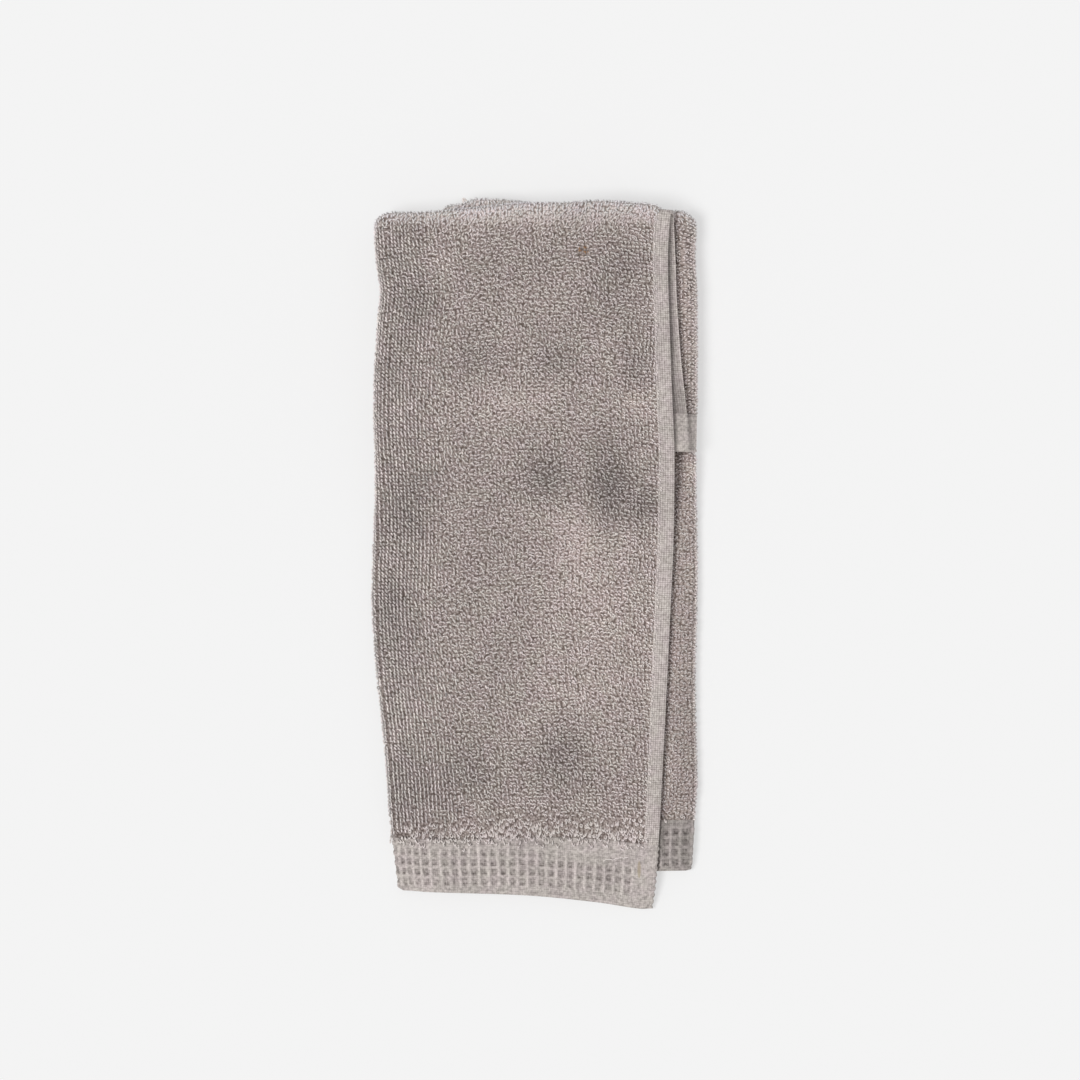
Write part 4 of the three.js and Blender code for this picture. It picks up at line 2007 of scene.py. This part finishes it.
@dataclass
class LooseThread:
    """One thread that lies on the cloth or stands out of it, as a thin round tube."""

    name: str
    radius: float = 0.17
    tone: float = 0.7
    sides: int = 6
    off_axis: tuple = (0.13, 0.21, 1.0)

    def build(self, line: Array, finish: bpy.types.Material) -> bpy.types.Object:
        """Build the thread.

        Args:
            line: Its centre line, in millimetres.
            finish: Its finish.

        Returns:
            The piece.
        """
        tangent = unit(np.gradient(line, axis=0))
        first = unit(np.cross(tangent, np.array(self.off_axis)))
        second = np.cross(tangent, first)
        theta = np.arange(self.sides) * 2.0 * math.pi / self.sides
        circle = np.cos(theta)[None, :, None] * first[:, None]
        circle = circle + np.sin(theta)[None, :, None] * second[:, None]
        rings = (line[:, None] + circle * self.radius).reshape(-1, 3)
        points = np.concatenate([rings, line[:1], line[-1:]])
        count, sides = len(line), self.sides
        quads, fans = [], []
        for side in range(sides):
            after = (side + 1) % sides
            for ring in range(count - 1):
                low, high = ring * sides, (ring + 1) * sides
                quads.append((low + side, low + after, high + after, high + side))
            fans.append((count * sides, after, side))
            last = (count - 1) * sides
            fans.append((count * sides + 1, last + side, last + after))
        along = np.linspace(0.0, 1.0, count)
        uv = np.stack([np.repeat(along, sides), np.tile(theta / (2.0 * math.pi), count)], -1)
        uv = np.concatenate([uv, [[0.0, 0.0], [1.0, 0.0]]])
        ones = np.ones(len(points))
        return mesh_piece(
            self.name,
            points,
            np.array(quads),
            np.array(fans),
            (finish,),
            attributes={"rise": ones, "tone": self.tone * ones},
            uv=("yarn", uv),
        )


@dataclass(frozen=True)
class HemThreadLine:
    """The pale thread that lies loose on the front border band, near its plain corner."""

    from_u: float = 9.1
    to_u: float = 17.0
    from_v: float = 16.0
    to_v: float = 13.6
    height: float = 0.86
    wave: float = 0.18
    wave_rate: float = 1.7
    ripple: float = 0.1
    ripple_rate: float = 3.9
    lift_rate: float = 2.3
    steps: int = 30

    def points(self) -> Array:
        """Lay the thread's centre line.

        Returns:
            Its points, in millimetres.
        """
        u = np.linspace(self.from_u, self.to_u, self.steps)
        wave = self.wave * np.sin(u * self.wave_rate) + self.ripple * np.sin(u * self.ripple_rate + 1.0)
        across = u / WaffleBand.panel_at_hem
        v = np.linspace(self.from_v, self.to_v, self.steps) + wave
        patch = FORM.patch(across, v / FLAT.front)
        lift = self.height + self.ripple * np.sin(u * self.lift_rate)
        return patch.point + patch.normal * lift[:, None]


@dataclass(frozen=True)
class PulledLoopLine:
    """A loop that stands out of the middle panel's fold at the top."""

    across: float = 2.262
    along: float = 1.5
    reach: float = 2.0
    width: float = 0.5
    arch_power: float = 0.8
    steps: int = 14

    def points(self) -> Array:
        """Bend the loop's centre line.

        Returns:
            Its points, in millimetres.
        """
        tau = np.linspace(0.0, 1.0, self.steps)
        foot = FORM.patch(np.full(self.steps, self.across), np.full(self.steps, self.along))
        sideways = -np.cos(math.pi * tau)[:, None] * self.width
        outward = np.sin(math.pi * tau)[:, None] ** self.arch_power * self.reach
        return foot.point + foot.across_way * sideways + foot.normal * outward


@dataclass
class Studio:
    """A pale floor, a soft key light from the lower left, and a camera straight above."""

    floor_size: float = 12.0
    floor_colour: tuple = (0.4, 0.4, 0.4)
    floor_roughness: float = 0.95
    floor_glow: float = 0.503
    sky: float = 0.47
    key: float = 1.84
    key_width: float = 26.0
    key_tilt: float = 25.0
    key_turn: float = -76.0
    camera_height: float = 4.5
    pixel: float = 0.32
    image_pixels: int = 1080
    object_pixel_x: float = 535.0
    object_pixel_y: float = 552.0
    sensor: float = 36.0

    def build(self) -> None:
        """Build the floor, the lights and the camera."""
        self.add_floor()
        self.add_lights()
        self.add_camera()

    def add_floor(self) -> None:
        """Lay the pale floor."""
        half = self.floor_size / 2.0
        mesh = bpy.data.meshes.new("studio_floor")
        corners = [(-half, -half, 0.0), (half, -half, 0.0), (half, half, 0.0), (-half, half, 0.0)]
        mesh.from_pydata(corners, [], [(0, 1, 2, 3)])
        weaver = Weaver("studio_paper")
        weaver.shader.inputs["Base Color"].default_value = (*self.floor_colour, 1.0)
        weaver.shader.inputs["Roughness"].default_value = self.floor_roughness
        weaver.shader.inputs["Specular IOR Level"].default_value = 0.0
        weaver.shader.inputs["Emission Color"].default_value = (1.0, 1.0, 1.0, 1.0)
        weaver.shader.inputs["Emission Strength"].default_value = self.floor_glow
        mesh.materials.append(weaver.material)
        floor = bpy.data.objects.new("studio_floor", mesh)
        bpy.context.scene.collection.objects.link(floor)

    def add_lights(self) -> None:
        """Hang the sky and the key light."""
        world = bpy.data.worlds.new("studio_sky")
        world.use_nodes = True
        background = world.node_tree.nodes["Background"]
        background.inputs["Color"].default_value = (1.0, 1.0, 1.0, 1.0)
        background.inputs["Strength"].default_value = self.sky
        bpy.context.scene.world = world
        lamp = bpy.data.lights.new("key_light", "SUN")
        lamp.energy = self.key
        lamp.angle = math.radians(self.key_width)
        key = bpy.data.objects.new("key_light", lamp)
        key.rotation_euler = (math.radians(self.key_tilt), 0.0, math.radians(self.key_turn))
        bpy.context.scene.collection.objects.link(key)

    def add_camera(self) -> None:
        """Set the camera straight above, framed as in the photograph."""
        lens = bpy.data.cameras.new("camera")
        frame_width = self.image_pixels * self.pixel * MM
        lens.sensor_width = self.sensor
        lens.lens = self.sensor * self.camera_height / frame_width
        camera = bpy.data.objects.new("camera", lens)
        middle = self.image_pixels / 2.0
        x = (middle - self.object_pixel_x) * self.pixel - FORM.centre_x
        y = (self.object_pixel_y - middle) * self.pixel - FORM.centre_y
        camera.location = (x * MM, y * MM, self.camera_height)
        bpy.context.scene.collection.objects.link(camera)
        bpy.context.scene.camera = camera
        bpy.context.scene.view_settings.view_transform = "Standard"


@dataclass
class Washcloth:
    """The whole folded washcloth."""

    pile_across: tuple = (0.05, 2.13)
    wide_pitch: tuple = (1.9, 2.3)
    flat_yarn: Yarn = Yarn(height=0.5, spread=1.2)
    ground: UnderPileFinish = UnderPileFinish("ground_weave")
    selvedge: WeaveFinish = WeaveFinish(
        "selvedge_weave", dark=(0.25, 0.216, 0.203), pale=(0.77, 0.708, 0.68), grain_share=0.4
    )
    waffle: WeaveFinish = WeaveFinish(
        "waffle_weave",
        warp_pitch=0.6,
        weft_pitch=0.67,
        dark=(0.13, 0.112, 0.105),
        pale=(0.75, 0.685, 0.655),
        grain_share=0.66,
        relief=True,
    )
    yarn: LoopFinish = LoopFinish("pile_yarn")

    def loop_fields(self) -> tuple[LoopField, ...]:
        """List the stretches of pile, each with its side of the cloth; the last two lie underneath.

        Returns:
            The fields of loops.
        """
        shown, outer, inner = self.pile_across, Side.OUTER, Side.INNER
        hidden = (*self.wide_pitch, self.flat_yarn)
        return (
            LoopField("front_pile_lower", outer, shown, (0.075, 0.39), 1.5, 11),
            LoopField("front_pile_middle", outer, shown, (0.39, 0.7), 1.5, 12),
            LoopField("front_pile_upper", outer, shown, (0.7, 1.0), 1.5, 13),
            LoopField("top_fold_pile", outer, (0.05, 4.93), (1.0, 2.06), 1.5, 14),
            LoopField("flap_edge_pile", outer, (2.84, 4.12), (2.06, 2.84), 3.5, 15, softness=0.35),
            LoopField("front_edge_pile", inner, (2.84, 4.0), (0.08, 0.68), 3.5, 16),
            LoopField("under_flap_pile", outer, (4.12, 4.93), (2.06, 2.84), 4.5, 17, *hidden),
            LoopField("under_front_pile", inner, (4.0, 4.93), (0.08, 0.64), 4.5, 18, *hidden),
        )

    def bands(self, finish: bpy.types.Material) -> list[bpy.types.Object]:
        """Build the border bands of both ends.

        Args:
            finish: Their finish.

        Returns:
            The pieces.
        """
        front = WaffleBand("border_band_front", End.FRONT)
        # The flap's band is lifted with painted light, overall and by the right fold.
        flap = WaffleBand(
            "border_band_flap",
            End.FLAP,
            first_row_right=3.0,
            first_row_left=3.0,
            strip_depth=-0.7,
            strip_shade=-0.05,
            level=1.06,
        )
        return [
            front.build(step_places(FINE_ACROSS), step_places(FINE_ALONG), finish),
            flap.build(step_places(FLAP_ACROSS), step_places(FLAP_ALONG), finish),
        ]

    def threads(self, finish: bpy.types.Material) -> list[bpy.types.Object]:
        """Build the two threads that lie or stand loose.

        Args:
            finish: Their finish.

        Returns:
            The pieces.
        """
        return [
            LooseThread("hem_thread", radius=0.14).build(HemThreadLine().points(), finish),
            LooseThread("pulled_loop", radius=0.36, tone=0.0).build(PulledLoopLine().points(), finish),
        ]

    def build(self) -> None:
        cloth = GroundCloth().build(self.ground.material(), self.selvedge.material())
        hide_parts(NODE)
        self.report(cloth)
        yarn = self.yarn.material()
        on_it = self.bands(self.waffle.material())
        on_it += [field.build(yarn) for field in self.loop_fields()]
        on_it += self.threads(yarn)
        for piece in on_it:
            self.report(piece)

    def report(self, piece: bpy.types.Object) -> None:
        """Log a piece's name and size."""
        count = sum(len(face.vertices) - 2 for face in piece.data.polygons)
        LOG.info("%s: %d triangles", piece.name, count)


def main() -> None:
    """Build the studio and the washcloth, in order."""
    logging.basicConfig(level=logging.INFO, format="%(message)s")
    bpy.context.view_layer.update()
    Studio().build()
    Washcloth().build()


if __name__ == "__main__":
    main()
